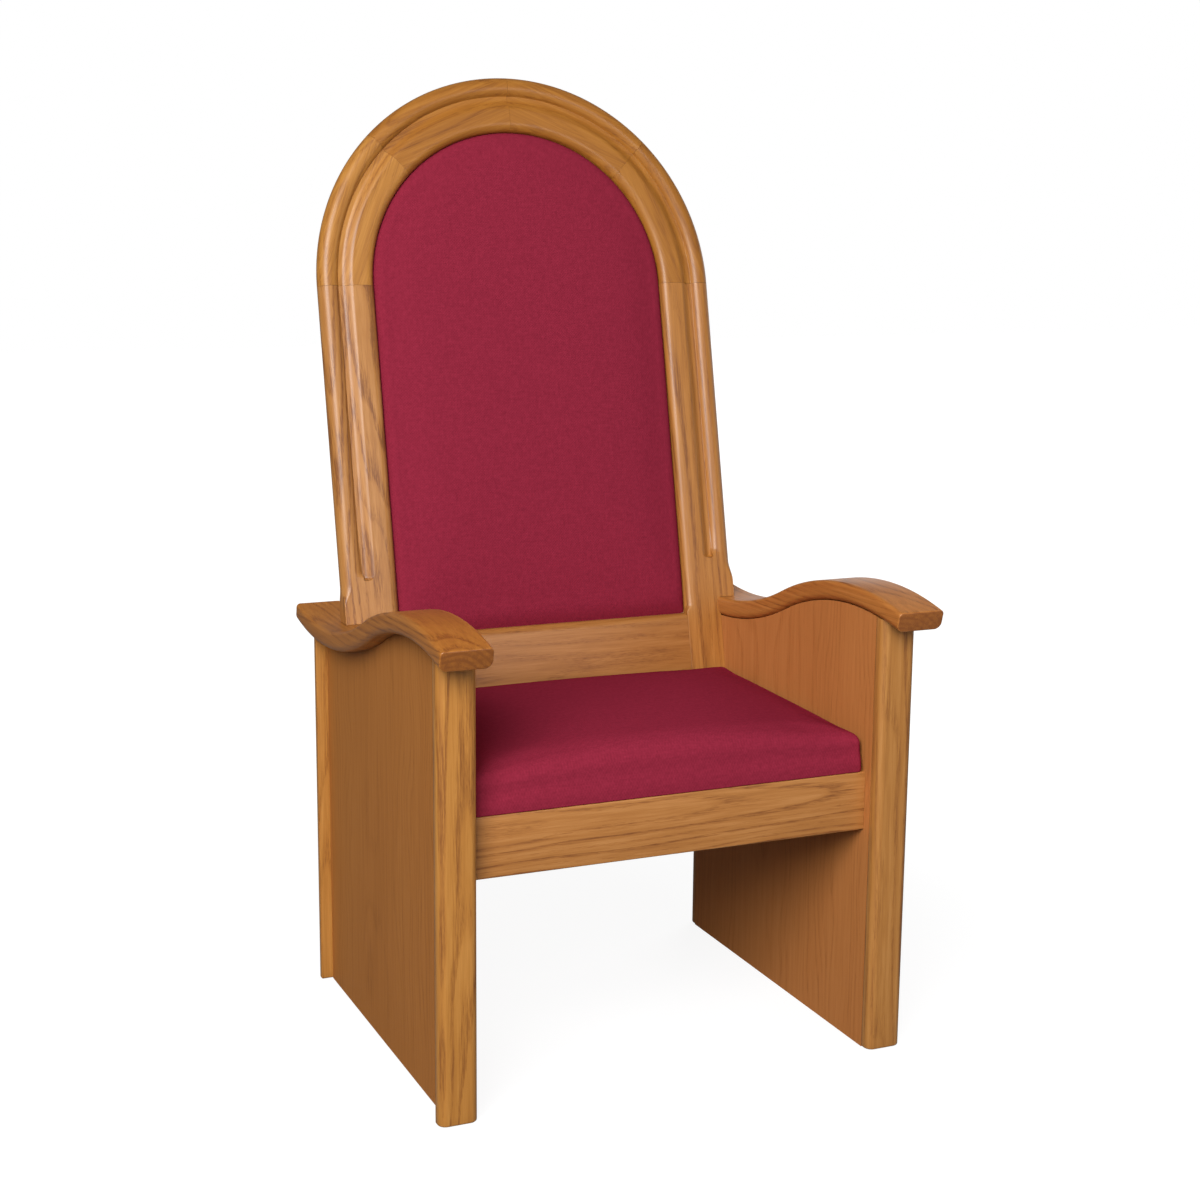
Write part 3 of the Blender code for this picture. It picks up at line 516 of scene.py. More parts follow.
@dataclass(frozen=True)
class ClothFinish:
    """Woven upholstery cloth.

    Attributes:
        slot: The record's material slot.
        deep: Colour between the yarns.
        main: Colour of the yarns.
        light: Colour of the lightest yarns.
        pitch: Distance between yarns.
        rough: Roughness.
    """

    slot: str
    deep: Colour
    main: Colour
    light: Colour
    pitch: float = 0.0022
    rough: float = 0.92

    def dress(self, piece: bpy.types.Object, turn: Triple, scale: Triple) -> None:
        """Weaves the cloth over a piece: two crossed sine waves, with each yarn's own tone.

        Args:
            piece: The object.
            turn: Turn of the weave's coordinate, as Euler angles.
            scale: Its factors.
        """
        nodes = Nodes(bpy.data.materials.new(f"{self.slot}_{piece.name}"))
        position = nodes.add("TexCoord", {}).outputs["Object"]
        cloth = nodes.add("Mapping", {"Vector": position, "Rotation": turn, "Scale": scale}).outputs["Vector"]
        parts = nodes.add("SeparateXYZ", {"Vector": cloth}).outputs
        step = math.pi / self.pitch
        waves = [nodes.maths("SINE", nodes.maths("MULTIPLY", parts[axis], step)) for axis in "XY"]
        weave = nodes.maths("MULTIPLY", *waves)
        slub = nodes.noise(cloth, 420.0, 2.0, stretch=(1.0, 0.12, 1.0))
        cross = nodes.noise(cloth, 420.0, 2.0, stretch=(0.12, 1.0, 1.0))
        shade = nodes.maths("ADD", nodes.maths("MULTIPLY", weave, 0.07), 0.5)
        for part, weight in ((slub, 0.26), (cross, 0.26), (nodes.noise(cloth, 190.0, 3.0), 0.44)):
            shade = nodes.added(shade, part, weight)
        height = nodes.added(nodes.maths("MULTIPLY", weave, 0.6), slub, 1.0)
        nodes.cover(piece, {
            "Base Color": nodes.ramp(shade, {0.1: self.deep, 0.5: self.main, 0.9: self.light}),
            "Normal": nodes.bump(height, 0.35, 0.0005),
            "Roughness": self.rough,
            "Specular IOR Level": 0.0,
        })


@dataclass(frozen=True)
class PlainFinish:
    """A quiet finish for pieces that hardly show: one colour, streaked along the piece's X.

    Attributes:
        slot: The record's material slot.
        base: Main colour.
        streak: Colour of the streaks.
        rough: Roughness.
        metal: How metallic it is.
    """

    slot: str
    base: Colour
    streak: Colour
    rough: float = 0.6
    metal: float = 0.0

    def dress(self, piece: bpy.types.Object) -> None:
        """Gives a piece this finish as its only material.

        Args:
            piece: The object.
        """
        nodes = Nodes(bpy.data.materials.new(f"{self.slot}_{piece.name}"))
        position = nodes.add("TexCoord", {}).outputs["Object"]
        streaks = nodes.noise(position, 300.0, 2.0, stretch=(0.05, 1.0, 1.0))
        colour = nodes.ramp(streaks, {0.3: self.streak, 0.6: self.base})
        nodes.cover(piece, {"Base Color": colour, "Roughness": self.rough, "Metallic": self.metal})


OAK = OakFinish("oak", (0.250, 0.088, 0.015), (0.360, 0.142, 0.025), (0.470, 0.200, 0.036),
                (0.580, 0.274, 0.064))
VENEER = OakFinish("oak_veneer", (0.242, 0.083, 0.016), (0.336, 0.120, 0.023), (0.438, 0.163, 0.034),
                   (0.512, 0.208, 0.049), gloss=0.0, shine=0.2, rough=0.6)
# Inner panels: a lighter, redder copy of the veneer, which paints the red bounce light from the seat onto
# them.
INNER_VENEER_PAINTED_BOUNCE = OakFinish("oak_veneer", (0.282, 0.097, 0.022), (0.390, 0.137, 0.033), (0.508, 0.188, 0.050),
                         (0.592, 0.241, 0.071), gloss=0.0, shine=0.2, rough=0.6)
CLOTH = ClothFinish("burgundy_fabric", (0.172, 0.0130, 0.028), (0.255, 0.0203, 0.043), (0.345, 0.0297, 0.061))


@dataclass(frozen=True)
class Layout:
    """Places that several pieces share.

    Attributes:
        front: Y of the front posts' front face.
        clear: Half of the width between the ends.
        post_width: Width of a post across the end's thickness.
        post_thickness: Thickness of a post from front to rear.
        depth: From the front posts' front face to the rear posts' rear face.
        seam: Glue line left between pieces.
        crest_setback: From the front posts' front face back to the arms' crest.
        back_setback: From the same face back to the front of the leaning back, at the arms.
    """

    front: float
    clear: float
    post_width: float
    post_thickness: float
    depth: float
    seam: float = 0.0003
    crest_setback: float = 0.0816
    back_setback: float = 0.4992

    @classmethod
    def from_frame(cls) -> "Layout":
        """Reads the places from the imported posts.

        Returns:
            The layout.
        """
        low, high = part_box("front_post_right")
        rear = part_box("rear_post_right")[1]
        return cls(low[1], low[0], high[0] - low[0], high[1] - low[1], rear[1] - low[1])


@dataclass(frozen=True)
class ArmWave:
    """The arms' line from the side: a crest arc that runs smoothly into a trough arc.

    Attributes:
        crest_y: Y of the crest.
        trough_y: Y of the trough.
        top: Height of the crest.
        drop: How far the trough lies below the crest.
        crest_radius: Radius of the crest arc.
    """

    crest_y: float
    trough_y: float
    top: float = 0.6747
    drop: float = 0.0929
    crest_radius: float = 0.513

    @property
    def trough_radius(self) -> float:
        """The trough arc's radius, which makes both arcs share a tangent.

        Returns:
            The radius.
        """
        run = self.trough_y - self.crest_y
        return (run * run + self.drop * self.drop) / (2.0 * self.drop) - self.crest_radius

    @property
    def lean(self) -> float:
        """Slope angle where the crest arc runs into the trough arc.

        Returns:
            The angle in radians.
        """
        run = self.trough_y - self.crest_y
        return math.asin(run / (self.crest_radius + self.trough_radius))

    def height(self, y: Array, offset: float = 0.0) -> Array:
        """Height of the line, or of a line beside it.

        Args:
            y: Where it is read.
            offset: Distance above the line, square to it; below it if negative.

        Returns:
            The heights.
        """
        crest, trough = self.crest_radius + offset, self.trough_radius - offset
        change = self.crest_y + crest * math.sin(self.lean)
        over = np.sqrt(np.clip(crest**2 - (y - self.crest_y) ** 2, 0.0, None)) + self.top - self.crest_radius
        under = (self.top - self.drop + self.trough_radius
                 - np.sqrt(np.clip(trough**2 - (y - self.trough_y) ** 2, 0.0, None)))
        return np.where(y < change, over, under)

    def path(self, start: float, stop: float, count: int) -> tuple[Array, Array, Array]:
        """Stations along the line, spaced evenly over Y.

        Args:
            start: First Y.
            stop: Last Y.
            count: Number of stations.

        Returns:
            Y, height and slope angle of each station.
        """
        y = np.linspace(start, stop, count)
        change = self.crest_y + self.crest_radius * math.sin(self.lean)
        slope = np.where(
            y < change,
            -np.arcsin(np.clip((y - self.crest_y) / self.crest_radius, -1.0, 1.0)),
            np.arcsin(np.clip((y - self.trough_y) / self.trough_radius, -1.0, 1.0)),
        )
        return y, self.height(y), slope


@dataclass
class ChairEnd:
    """One end of the chair: a front post, a rear post and the waving arm cap over them.

    Attributes:
        layout: Shared places.
        wave: The arm's line.
        side: Which end.
        post_round: Radius of a post's outer upright edges.
        rear_ease: Radius of its upright edges beside the panel.
        foot_ease: Rounding of a post's foot.
        cap_thickness: Thickness of the arm cap.
        top_round: Radius of the cap's upper edges.
        lower_round: Radius of the cap's lower edges.
        front_overhang: How far the cap's top runs past the front post.
        rear_overhang: How far it runs past the rear post.
        front_ease: Rounding of the cap's front end.
        tail_round: Rounding of its rear end.
        stations: Sections along the cap.
    """

    layout: Layout
    wave: ArmWave
    side: Side
    post_round: float = 0.012
    rear_ease: float = 0.0008
    foot_ease: float = 0.003
    cap_thickness: float = 0.029
    top_round: float = 0.006
    lower_round: float = 0.011
    front_overhang: float = 0.0486
    rear_overhang: float = 0.046
    front_ease: float = 0.002
    tail_round: float = 0.004
    stations: int = 161

    def post(self, place: str) -> bpy.types.Object:
        """A post: its rounded plan carried upwards, with an eased foot and a top that follows the cap.

        Args:
            place: "front" or "rear".

        Returns:
            The post.
        """
        lay = self.layout
        middle = self.side.value * (lay.clear + lay.post_width / 2.0)
        levels = np.radians(np.linspace(0.0, 90.0, 6))
        upper = np.linspace(0.02, 1.0, 9)
        inset = np.concatenate([self.foot_ease * (1.0 - np.sin(levels)), 0.0 * upper])[:, None]
        foot = np.concatenate([self.foot_ease * (1.0 - np.cos(levels)), 0.0 * upper])[:, None]
        share = np.concatenate([0.0 * levels, upper])[:, None]
        half = lay.post_width / 2.0 - inset
        plan = Surface.rounded((-half, half), (inset, lay.post_thickness - inset), self.post_round - inset,
                               np.full_like(half, self.rear_ease), 12, 3)
        y = lay.front + (plan[..., 1] if place == "front" else lay.depth - plan[..., 1])
        z = foot * (1.0 - share) + share * self.wave.height(y, -self.cap_thickness - lay.seam)
        rings = np.stack([middle + plan[..., 0], y, z], axis=-1)
        return Surface.loft(f"{place}_post_shaped_{self.side.word}", rings)

    def cap(self) -> bpy.types.Object:
        """The arm cap: a rounded section carried along the wave, square to it, with eased ends.

        Returns:
            The cap.
        """
        lay = self.layout
        low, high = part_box("arm_cap_right")
        start, stop = lay.front - self.front_overhang, lay.front + lay.depth + self.rear_overhang
        y, z, slope = self.wave.path(start, stop, self.stations)
        turns = np.radians(np.linspace(0.0, 90.0, 7))
        inner = np.arange(1, self.stations - 1)
        shift = np.concatenate([self.front_ease * (1.0 - np.cos(turns)), 0.0 * inner,
                                self.tail_round * (np.sin(turns) - 1.0)])
        inset = np.concatenate([self.front_ease * (1.0 - np.sin(turns)), 0.0 * inner,
                                self.tail_round * (1.0 - np.cos(turns))])[:, None]
        index = np.concatenate([np.zeros(len(turns), int), inner, np.full(len(turns), self.stations - 1)])
        along_y, along_z = np.cos(slope[index]), np.sin(slope[index])
        base_y, base_z = y[index] + shift * along_y, z[index] + shift * along_z
        half = (high[0] - low[0]) / 2.0 - inset
        section = Surface.rounded((-half, half), (inset - self.cap_thickness, -inset),
                                  self.lower_round - inset, self.top_round - inset, 10, 8)
        points = np.stack([
            self.side.value * (low[0] + high[0]) / 2.0 + section[..., 0],
            base_y[:, None] - section[..., 1] * along_z[:, None],
            base_z[:, None] + section[..., 1] * along_y[:, None],
        ], axis=-1)
        return Surface.loft(f"arm_cap_shaped_{self.side.word}", points)

    def build(self, back: "ArchedBack") -> list[bpy.types.Object]:
        """Builds the end and gives each board its finish.

        Args:
            back: The back, whose leg passes the cap.

        Returns:
            The pieces.
        """
        lay, sign, word = self.layout, self.side.value, self.side.word
        middle = sign * (lay.clear + lay.post_width / 2.0)
        left = self.side is Side.LEFT
        seed = 11 if left else 31
        post_tone = (1.01, 0.98, 0.94) if left else (0.94, 0.92, 1.08)
        # Cap tones carry painted reflection: the right cap is toned greyer for the pale reflection on its
        # top, and the left cap yellower where there is less of it.
        cap_tone_painted_reflection = (0.89, 0.74, 0.55) if left else (0.99, 0.84, 0.86)
        made = []
        for place, face, y in (("front", -1.0, lay.front), ("rear", 1.0, lay.front + lay.depth)):
            post = self.post(place)
            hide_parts(f"{place}_post_{word}")
            OAK.dress(post, Board((0, 0, 1), (0, face, 0), (middle, y, 0.3), aside=0.012 * sign, tilt=1.2,
                                  figure=0.44, tone=post_tone), seed)
            made.append(post)
            seed += 4
        cap = self.cap()
        Surface.carve(cap, back.leg_space(self.side))
        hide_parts(f"arm_cap_{word}")
        OAK.dress(cap, Board((0, 1, 0), (0, 0, 1), (middle, lay.front + 0.2, self.wave.top), depth=0.10,
                             aside=0.03, tilt=1.6, spacing=0.008, figure=0.44, tone=cap_tone_painted_reflection), seed)
        return made + [cap]


@dataclass
class ArchedBack:
    """The leaning back frame: two stiles, four arch segments and the lower rail.

    Attributes:
        layout: Shared places.
        wave: The arms' line, on which the stiles stand.
        foot_y: Y of the front face at the shoulder.
        foot_z: Height of the shoulder.
        rake: Lean of the back in radians.
        half: Half of the frame's width.
        opening: Half of the opening's width.
        thickness: Thickness of the frame.
        spring: Where the arch springs, measured up the lean from the shoulder.
        edge_round: Radius of the frame's outer rear edge.
        bead: Radius of the half-round bead along the outer front edge.
        opening_round: Radius of the opening's front edge.
        rail_round: Radius of the lower rail's upper front edge.
        ease: Small rounding of square edges.
        face_reach: Width of the shaped part of the front face, from the outer edge.
        flute_edge: Distance from the outer edge at which the flute's floor starts to rise.
        flute_width: Width over which it rises to the flat.
        flute_depth: Depth of the flute beside the bead.
        flute_start: Where the flute stops, up the lean from the shoulder.
        flute_end: Length of the flute's round end.
        end_shift: Distance of the round end's middle past flute_edge.
        end_half: Half of the round end's width.
        bead_stop: Where the bead's inner side starts to fade, below the flute's round end.
        bead_fade: How long that takes.
        tongue_start: Where the outer edge starts to round.
        tongue_length: How long it takes.
        rail_top: Top of the lower rail, up the lean from the shoulder.
        rail_bottom: Bottom of the lower rail.
        leg_bottom: Bottom of the stiles' legs.
        rebate: How far the rear rebate reaches into the frame.
        rebate_floor: Depth of the rebate's floor behind the front face.
    """

    layout: Layout
    wave: ArmWave
    foot_y: float
    foot_z: float
    rake: float = math.radians(12.5)
    half: float = 0.3265
    opening: float = 0.240
    thickness: float = 0.030
    spring: float = 0.5116
    edge_round: float = 0.0132
    bead: float = 0.0164
    opening_round: float = 0.0140
    rail_round: float = 0.012
    ease: float = 0.001
    face_reach: float = 0.0570
    flute_edge: float = 0.0355
    flute_width: float = 0.0175
    flute_depth: float = 0.0084
    flute_start: float = 0.0646
    flute_end: float = 0.0070
    end_shift: float = 0.003
    end_half: float = 0.0115
    bead_stop: float = -0.016
    bead_fade: float = 0.020
    tongue_start: float = 0.0256
    tongue_length: float = 0.033
    rail_top: float = -0.0214
    rail_bottom: float = -0.1735
    leg_bottom: float = -0.2550
    rebate: float = 0.010
    rebate_floor: float = 0.0154

    def place(self, points: Array) -> Array:
        """Turns points of the back's own frame into the chair's frame.

        Args:
            points: Across, depth behind the front face, and distance up the lean, in the last axis.

        Returns:
            The points in the chair's frame.
        """
        across, depth, up = np.moveaxis(points, -1, 0)
        lean, stand = math.sin(self.rake), math.cos(self.rake)
        y = self.foot_y + depth * stand + up * lean
        z = self.foot_z - depth * lean + up * stand
        return np.stack([across, y, z], axis=-1)

    def direction(self, across: float, depth: float, up: float) -> Triple:
        """Turns a direction of the back's own frame into the chair's frame.

        Args:
            across: Its part across the back.
            depth: Its part towards the rear.
            up: Its part up the lean.

        Returns:
            The direction.
        """
        turned = self.place(np.array([across, depth, up])) - self.place(np.zeros(3))
        return tuple(float(value) for value in turned)

    def section(self, swell: Array, open_edge: Array, past: Array, rebated: Array) -> Array:
        """The frame's section: rounded opening edge, flat, stopped flute, half-round bead, rebated rear.

        At the distance e from the outer edge the bead lies back by bead - sqrt(bead^2 - (e - bead)^2), and
        the flute by depth (1 - s(e)), where s rises smoothly from 0 to 1 over the flute's width. The
        shallower of the two is the surface. At the flute's end both come up to the flat, the flute as a
        quarter ellipse.

        Args:
            swell: How far the outer edge is rounded at each station, 0 to 1.
            open_edge: How far the opening's edge is rounded, 0 to 1.
            past: Distance of each station below the start of the flute's round end; negative in the flute.
            rebated: Whether the rear is rebated at each station.

        Returns:
            Points (distance from the middle, depth) with the shape (stations, points, 2).
        """
        edge = (self.ease + (self.edge_round - self.ease) * swell)[:, None]
        brow = (self.ease + (self.bead - self.ease) * swell)[:, None]
        inner = (self.ease + (self.opening_round - self.ease) * open_edge)[:, None]
        below = past[:, None]
        inward = np.linspace(self.face_reach, self.bead + 0.0002, 96)[None, :]
        cove = self.flute_depth * (1.0 - Surface.rise(inward, self.flute_edge, self.flute_width))
        from_end = (inward - self.flute_edge - self.end_shift) / self.end_half
        plan = np.sqrt(np.clip(1.0 - from_end**2, 0.0, 1.0))
        length = np.maximum(self.flute_end * plan, 1e-6)
        cove = cove * np.sqrt(np.clip(1.0 - (np.maximum(below, 0.0) / length) ** 2, 0.0, 1.0))
        side = self.bead - np.sqrt(np.clip(self.bead**2 - (inward - self.bead) ** 2, 0.0, None))
        side = side * (1.0 - Surface.rise(below, self.bead_stop, self.bead_fade))
        side = np.where(inward < 2.0 * self.bead, side, 1.0)
        face = np.stack([self.half - inward + 0.0 * below, np.minimum(side, cove)], axis=-1)
        corner = self.opening + self.rebate
        deep = np.where(rebated, self.rebate_floor, self.thickness)
        turn = np.where(rebated, corner, corner - 0.004)
        rear = np.stack([
            np.stack([np.full_like(deep, corner), np.full_like(deep, self.thickness)], axis=-1),
            np.stack([turn, deep], axis=-1),
            np.stack([np.full_like(deep, self.opening), deep], axis=-1),
        ], axis=1)
        return np.concatenate([
            Surface.arc((self.opening + inner, inner), inner, 180.0, 270.0, 9),
            face,
            Surface.arc((self.half - brow, brow), brow, 270.0, 360.0, 13),
            Surface.arc((self.half - edge, self.thickness - edge), edge, 0.0, 90.0, 13),
            rear,
        ], axis=1)

    def stile(self, side: Side) -> bpy.types.Object:
        """A stile: the frame's section carried up the lean, cut to stand on the arm cap.

        Args:
            side: Which stile.

        Returns:
            The stile.
        """
        step, hair = self.rail_top - self.rebate, 0.0001
        round_end = self.flute_start + self.flute_end
        heights = np.unique(np.concatenate([
            np.array([self.leg_bottom, step - hair, step, self.spring - self.layout.seam / 2.0]),
            np.linspace(self.rail_top, self.rail_top + self.opening_round, 7),
            np.linspace(self.tongue_start, self.tongue_start + self.tongue_length, 13),
            np.linspace(self.flute_start - 0.002, round_end, 31),
            np.linspace(round_end, round_end + 0.007, 9),
            np.linspace(self.flute_start + 0.05, self.spring - 0.02, 9),
        ]))
        rows = self.section(
            Surface.rise(heights, self.tongue_start, self.tongue_length),
            Surface.rise(heights, self.rail_top, self.opening_round),
            round_end - heights,
            heights > step - hair / 2.0,
        )
        up = np.broadcast_to(heights[:, None], rows.shape[:2])
        local = np.stack([side.value * rows[..., 0], rows[..., 1], up], axis=-1)
        piece = Surface.loft(f"back_stile_shaped_{side.word}", self.place(local))
        Surface.carve(piece, self.shoulder(side))
        return piece

    def shoulder(self, side: Side) -> bpy.types.Object:
        """The space of the end and its arm cap, which a stile's outer part doesn't enter.

        Args:
            side: Which end.

        Returns:
            A closed cutter.
        """
        lay = self.layout
        y = np.linspace(lay.front + 0.30, lay.front + lay.depth + 0.08, 81)
        top = self.wave.height(y, lay.seam)
        outline = np.concatenate([np.stack([y, top], axis=-1), np.array([[y[-1], 0.10], [y[0], 0.10]])])
        across = side.value * np.array([lay.clear - lay.seam, self.half + 0.05])
        return Surface.loft("shoulder_cutter", Surface.sweep(outline, across))

    def leg_space(self, side: Side) -> bpy.types.Object:
        """The space of a stile's leg, which notches the arm cap's inner edge.

        Args:
            side: Which leg.

        Returns:
            A closed cutter.
        """
        low, high = side.value * (self.opening - 0.05), side.value * self.layout.clear
        near, far = -self.layout.seam, self.thickness + self.layout.seam
        ring = np.array([[low, near], [high, near], [high, far], [low, far]])
        upwards = Surface.sweep(ring, np.array([-0.12, 0.12]))
        return Surface.loft("leg_cutter", self.place(np.roll(upwards, -1, axis=-1)))

    def segment(self, start: float, name: str) -> bpy.types.Object:
        """A curved arch segment: the frame's section carried round the arch's centre by 45 degrees.

        Args:
            start: First angle in degrees, from the right springing.
            name: The object's name.

        Returns:
            The segment.
        """
        gap = math.degrees(self.layout.seam / 2.0 / self.half)
        turn = np.radians(np.linspace(start + gap, start + 45.0 - gap, 46))
        whole = np.ones_like(turn)
        rows = self.section(whole, whole, -whole, whole > 0.0)
        local = np.stack([rows[..., 0] * np.cos(turn)[:, None], rows[..., 1],
                          self.spring + rows[..., 0] * np.sin(turn)[:, None]], axis=-1)
        return Surface.loft(name, self.place(local))

    def lower_rail(self) -> bpy.types.Object:
        """The lower rail: a board with a rounded upper front edge, carried across the back.

        Returns:
            The rail.
        """
        seam, small, big = self.layout.seam, self.ease, self.rail_round
        one = np.ones((1, 1))
        far, low = (self.thickness - small) * one, (self.rail_bottom + small) * one
        step = self.rail_top - self.rebate
        profile = np.concatenate([
            Surface.arc((big * one, (self.rail_top - big) * one), big * one, 180.0, 90.0, 9),
            np.array([[[self.rebate_floor, self.rail_top],
                       [self.rebate_floor, step],
                       [self.thickness, step]]]),
            Surface.arc((far, low), small * one, 0.0, -90.0, 4),
            Surface.arc((small * one, low), small * one, 270.0, 180.0, 4),
        ], axis=1)[0]
        across = np.linspace(-self.opening + seam, self.opening - seam, 9)
        return Surface.loft("back_lower_rail_shaped", self.place(Surface.sweep(profile, across)))

    def board(self, across: float, up: float, grain: tuple[float, float], **cut: object) -> Board:
        """A board of the back, with its show face at the front.

        Args:
            across: Its middle across the back.
            up: Its middle up the lean.
            grain: Direction of its grain, across and up.
            **cut: How it was sawn, as in Board.

        Returns:
            The board.
        """
        middle = tuple(float(v) for v in self.place(np.array([across, 0.0, up])))
        return Board(self.direction(grain[0], 0.0, grain[1]), self.direction(0.0, -1.0, 0.0), middle, **cut)

    def build(self) -> list[bpy.types.Object]:
        """Builds the frame and gives each board its finish.

        Returns:
            The pieces.
        """
        cuts = {
            # The left stile's paler, bluer tone is painted sheen: it stands for the soft reflection of the
            # lights on that side of the back.
            Side.LEFT: {"tilt": 3.6, "aside": 0.008, "sway": 0.030, "drift": 0.32, "figure": 0.62,
                        "tone": (0.93, 0.91, 1.14)},
            Side.RIGHT: {"tilt": 1.6, "aside": 0.02, "sway": 0.024, "drift": 0.2, "figure": 0.48,
                         "tone": (0.95, 0.89, 0.92)},
        }
        made, seed = [], 58
        for side in Side:
            stile = self.stile(side)
            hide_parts(f"back_stile_{side.word}")
            OAK.dress(stile, self.board(side.value * 0.265, 0.25, (0.0, 1.0), depth=0.045, spacing=0.0085,
                                        **cuts[side]), seed)
            made.append(stile)
            seed += 3
        middle = (self.half + self.opening) / 2.0
        # The lower left segment is toned paler and pinker than the other three: painted sheen from the lights
        # on the back's left side.
        darker, paler_painted_sheen = (0.81, 0.71, 0.46), (0.96, 0.92, 0.78)
        for start, word, tone in ((0.0, "lower_right", darker), (45.0, "upper_right", darker),
                                  (90.0, "upper_left", darker), (135.0, "lower_left", paler_painted_sheen)):
            segment = self.segment(start, f"arch_shaped_{word}")
            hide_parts(f"arch_{word}")
            turn = math.radians(start + 22.5)
            across, up = math.cos(turn), math.sin(turn)
            OAK.dress(segment, self.board(middle * across, self.spring + middle * up, (-up, across),
                                          depth=0.07, tilt=0.8, figure=0.27, tone=tone), seed)
            made.append(segment)
            seed += 3
        rail = self.lower_rail()
        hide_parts("back_lower_rail")
        OAK.dress(rail, self.board(0.0, -0.09, (1.0, 0.0), depth=0.045, tilt=2.5, spacing=0.012, figure=0.62,
                                   tone=(0.79, 0.71, 0.79)), seed)
        return made + [rail]


@dataclass
class SeatFrame:
    """The rail below the seat's front edge.

    Attributes:
        ease: Rounding of the rail's edges.
    """

    ease: float = 0.002

    def build(self) -> list[bpy.types.Object]:
        """The rail: a board with eased edges, carried across the chair.

        Returns:
            The rail, in a list.
        """
        low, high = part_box("seat_front_rail")
        ease = np.full((1, 1), self.ease)
        profile = Surface.rounded((low[1], high[1]), (low[2], high[2]), ease, ease, 5, 5)[0]
        across = np.linspace(low[0], high[0], 9)
        rail = Surface.loft("seat_front_rail_shaped", Surface.sweep(profile, across))
        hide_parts("seat_front_rail")
        middle = (0.0, low[1], (low[2] + high[2]) / 2.0)
        OAK.dress(rail, Board((1, 0, 0), (0, -1, 0), middle, depth=0.04, aside=0.02, tilt=1.6, figure=0.56,
                              tone=(0.92, 0.86, 1.08)), 91)
        return [rail]


@dataclass
class Pad:
    """A padded piece: a shape a little too small, filled by a cloth simulation on an even stand-in.

    Attributes:
        name: The object's name.
        voxel: Grid of the stand-in's remesh.
        pressure: Filling pressure.
        frames: Length of the simulation.
        reach: How far any point may move.
        blur: How widely the stand-in's movement is evened out when it is carried over.
        aside: Share of the movement across the chair that is kept, since boards hold the sides.
    """

    name: str
    voxel: float = 0.006
    pressure: float = 4.0
    frames: int = 20
    reach: float = 0.006
    blur: float = 0.010
    aside: float = 0.3

    @staticmethod
    def points(mesh: bpy.types.Mesh) -> Array:
        """The mesh's vertex places.

        Args:
            mesh: The mesh.

        Returns:
            Places with the shape (count, 3).
        """
        places = np.zeros(len(mesh.vertices) * 3, np.float32)
        mesh.vertices.foreach_get("co", places)
        return places.reshape(-1, 3)

    def free(self, places: Array) -> Array:
        """How freely each point moves, 0 where the pad's base holds it and 1 on its face; each pad says how.

        Args:
            places: Vertex places.

        Returns:
            The shares.
        """
        raise NotImplementedError

    def fill(self, piece: bpy.types.Object) -> None:
        """Fills an even stand-in by cloth simulation and carries its movement over to the pad's own grid.

        Each point of the pad moves by the mean of the stand-in's movements, weighted by a bell curve of
        the distance and by how freely the point moves.

        Args:
            piece: The closed shape.
        """
        stand_in = piece.copy()
        stand_in.data = piece.data.copy()
        bpy.context.scene.collection.objects.link(stand_in)
        remesh = stand_in.modifiers.new("even", "REMESH")
        remesh.mode, remesh.voxel_size, remesh.adaptivity = "VOXEL", self.voxel, 0.0
        Surface.settle(stand_in)
        before = self.points(stand_in.data)
        group = stand_in.vertex_groups.new(name="held")
        group.add(np.flatnonzero(self.free(before) < 0.02).tolist(), 1.0, "REPLACE")
        cloth = stand_in.modifiers.new("cloth", "CLOTH")
        cloth.settings.quality = 6
        cloth.settings.use_pressure = True
        cloth.settings.uniform_pressure_force = self.pressure
        cloth.settings.vertex_group_mass = "held"
        cloth.settings.effector_weights.gravity = 0.0
        cloth.point_cache.frame_start, cloth.point_cache.frame_end = 1, self.frames
        for step in range(1, self.frames + 1):
            bpy.context.scene.frame_set(step)
        Surface.settle(stand_in)
        move = self.points(stand_in.data) - before
        length = np.linalg.norm(move, axis=1, keepdims=True)
        move *= np.minimum(1.0, self.reach / np.maximum(length, 1e-9))
        bpy.context.scene.frame_set(1)
        spent = stand_in.data
        bpy.data.objects.remove(stand_in)
        bpy.data.meshes.remove(spent)
        places = self.points(piece.data)
        carried = np.concatenate([self.mean(part, before, move) for part in np.array_split(places, 24)])
        carried *= self.free(places)[:, None] * np.array([self.aside, 1.0, 1.0])
        piece.data.vertices.foreach_set("co", (places + carried).astype(np.float32).ravel())
        piece.data.update()
        largest = 1000.0 * float(np.linalg.norm(carried, axis=1).max())
        log.info("%s: filled, largest move %.2f mm", self.name, largest)
        finer = piece.modifiers.new("finer", "SUBSURF")
        finer.levels = finer.render_levels = 1
        finer.use_limit_surface = False
        Surface.settle(piece)
        piece.data.shade_smooth()

    def mean(self, places: Array, before: Array, move: Array) -> Array:
        """The stand-in's movement near each place, weighted by exp(-distance^2 / (2 blur^2)).

        Args:
            places: Where the movement is wanted.
            before: The stand-in's points.
            move: Their movements.

        Returns:
            The mean movements.
        """
        square = (places**2).sum(1)[:, None] + (before**2).sum(1)[None, :] - 2.0 * places @ before.T
        weight = np.exp(-np.clip(square / (2.0 * self.blur**2), 0.0, 30.0))
        return (weight @ move) / np.maximum(weight.sum(1, keepdims=True), 1e-12)


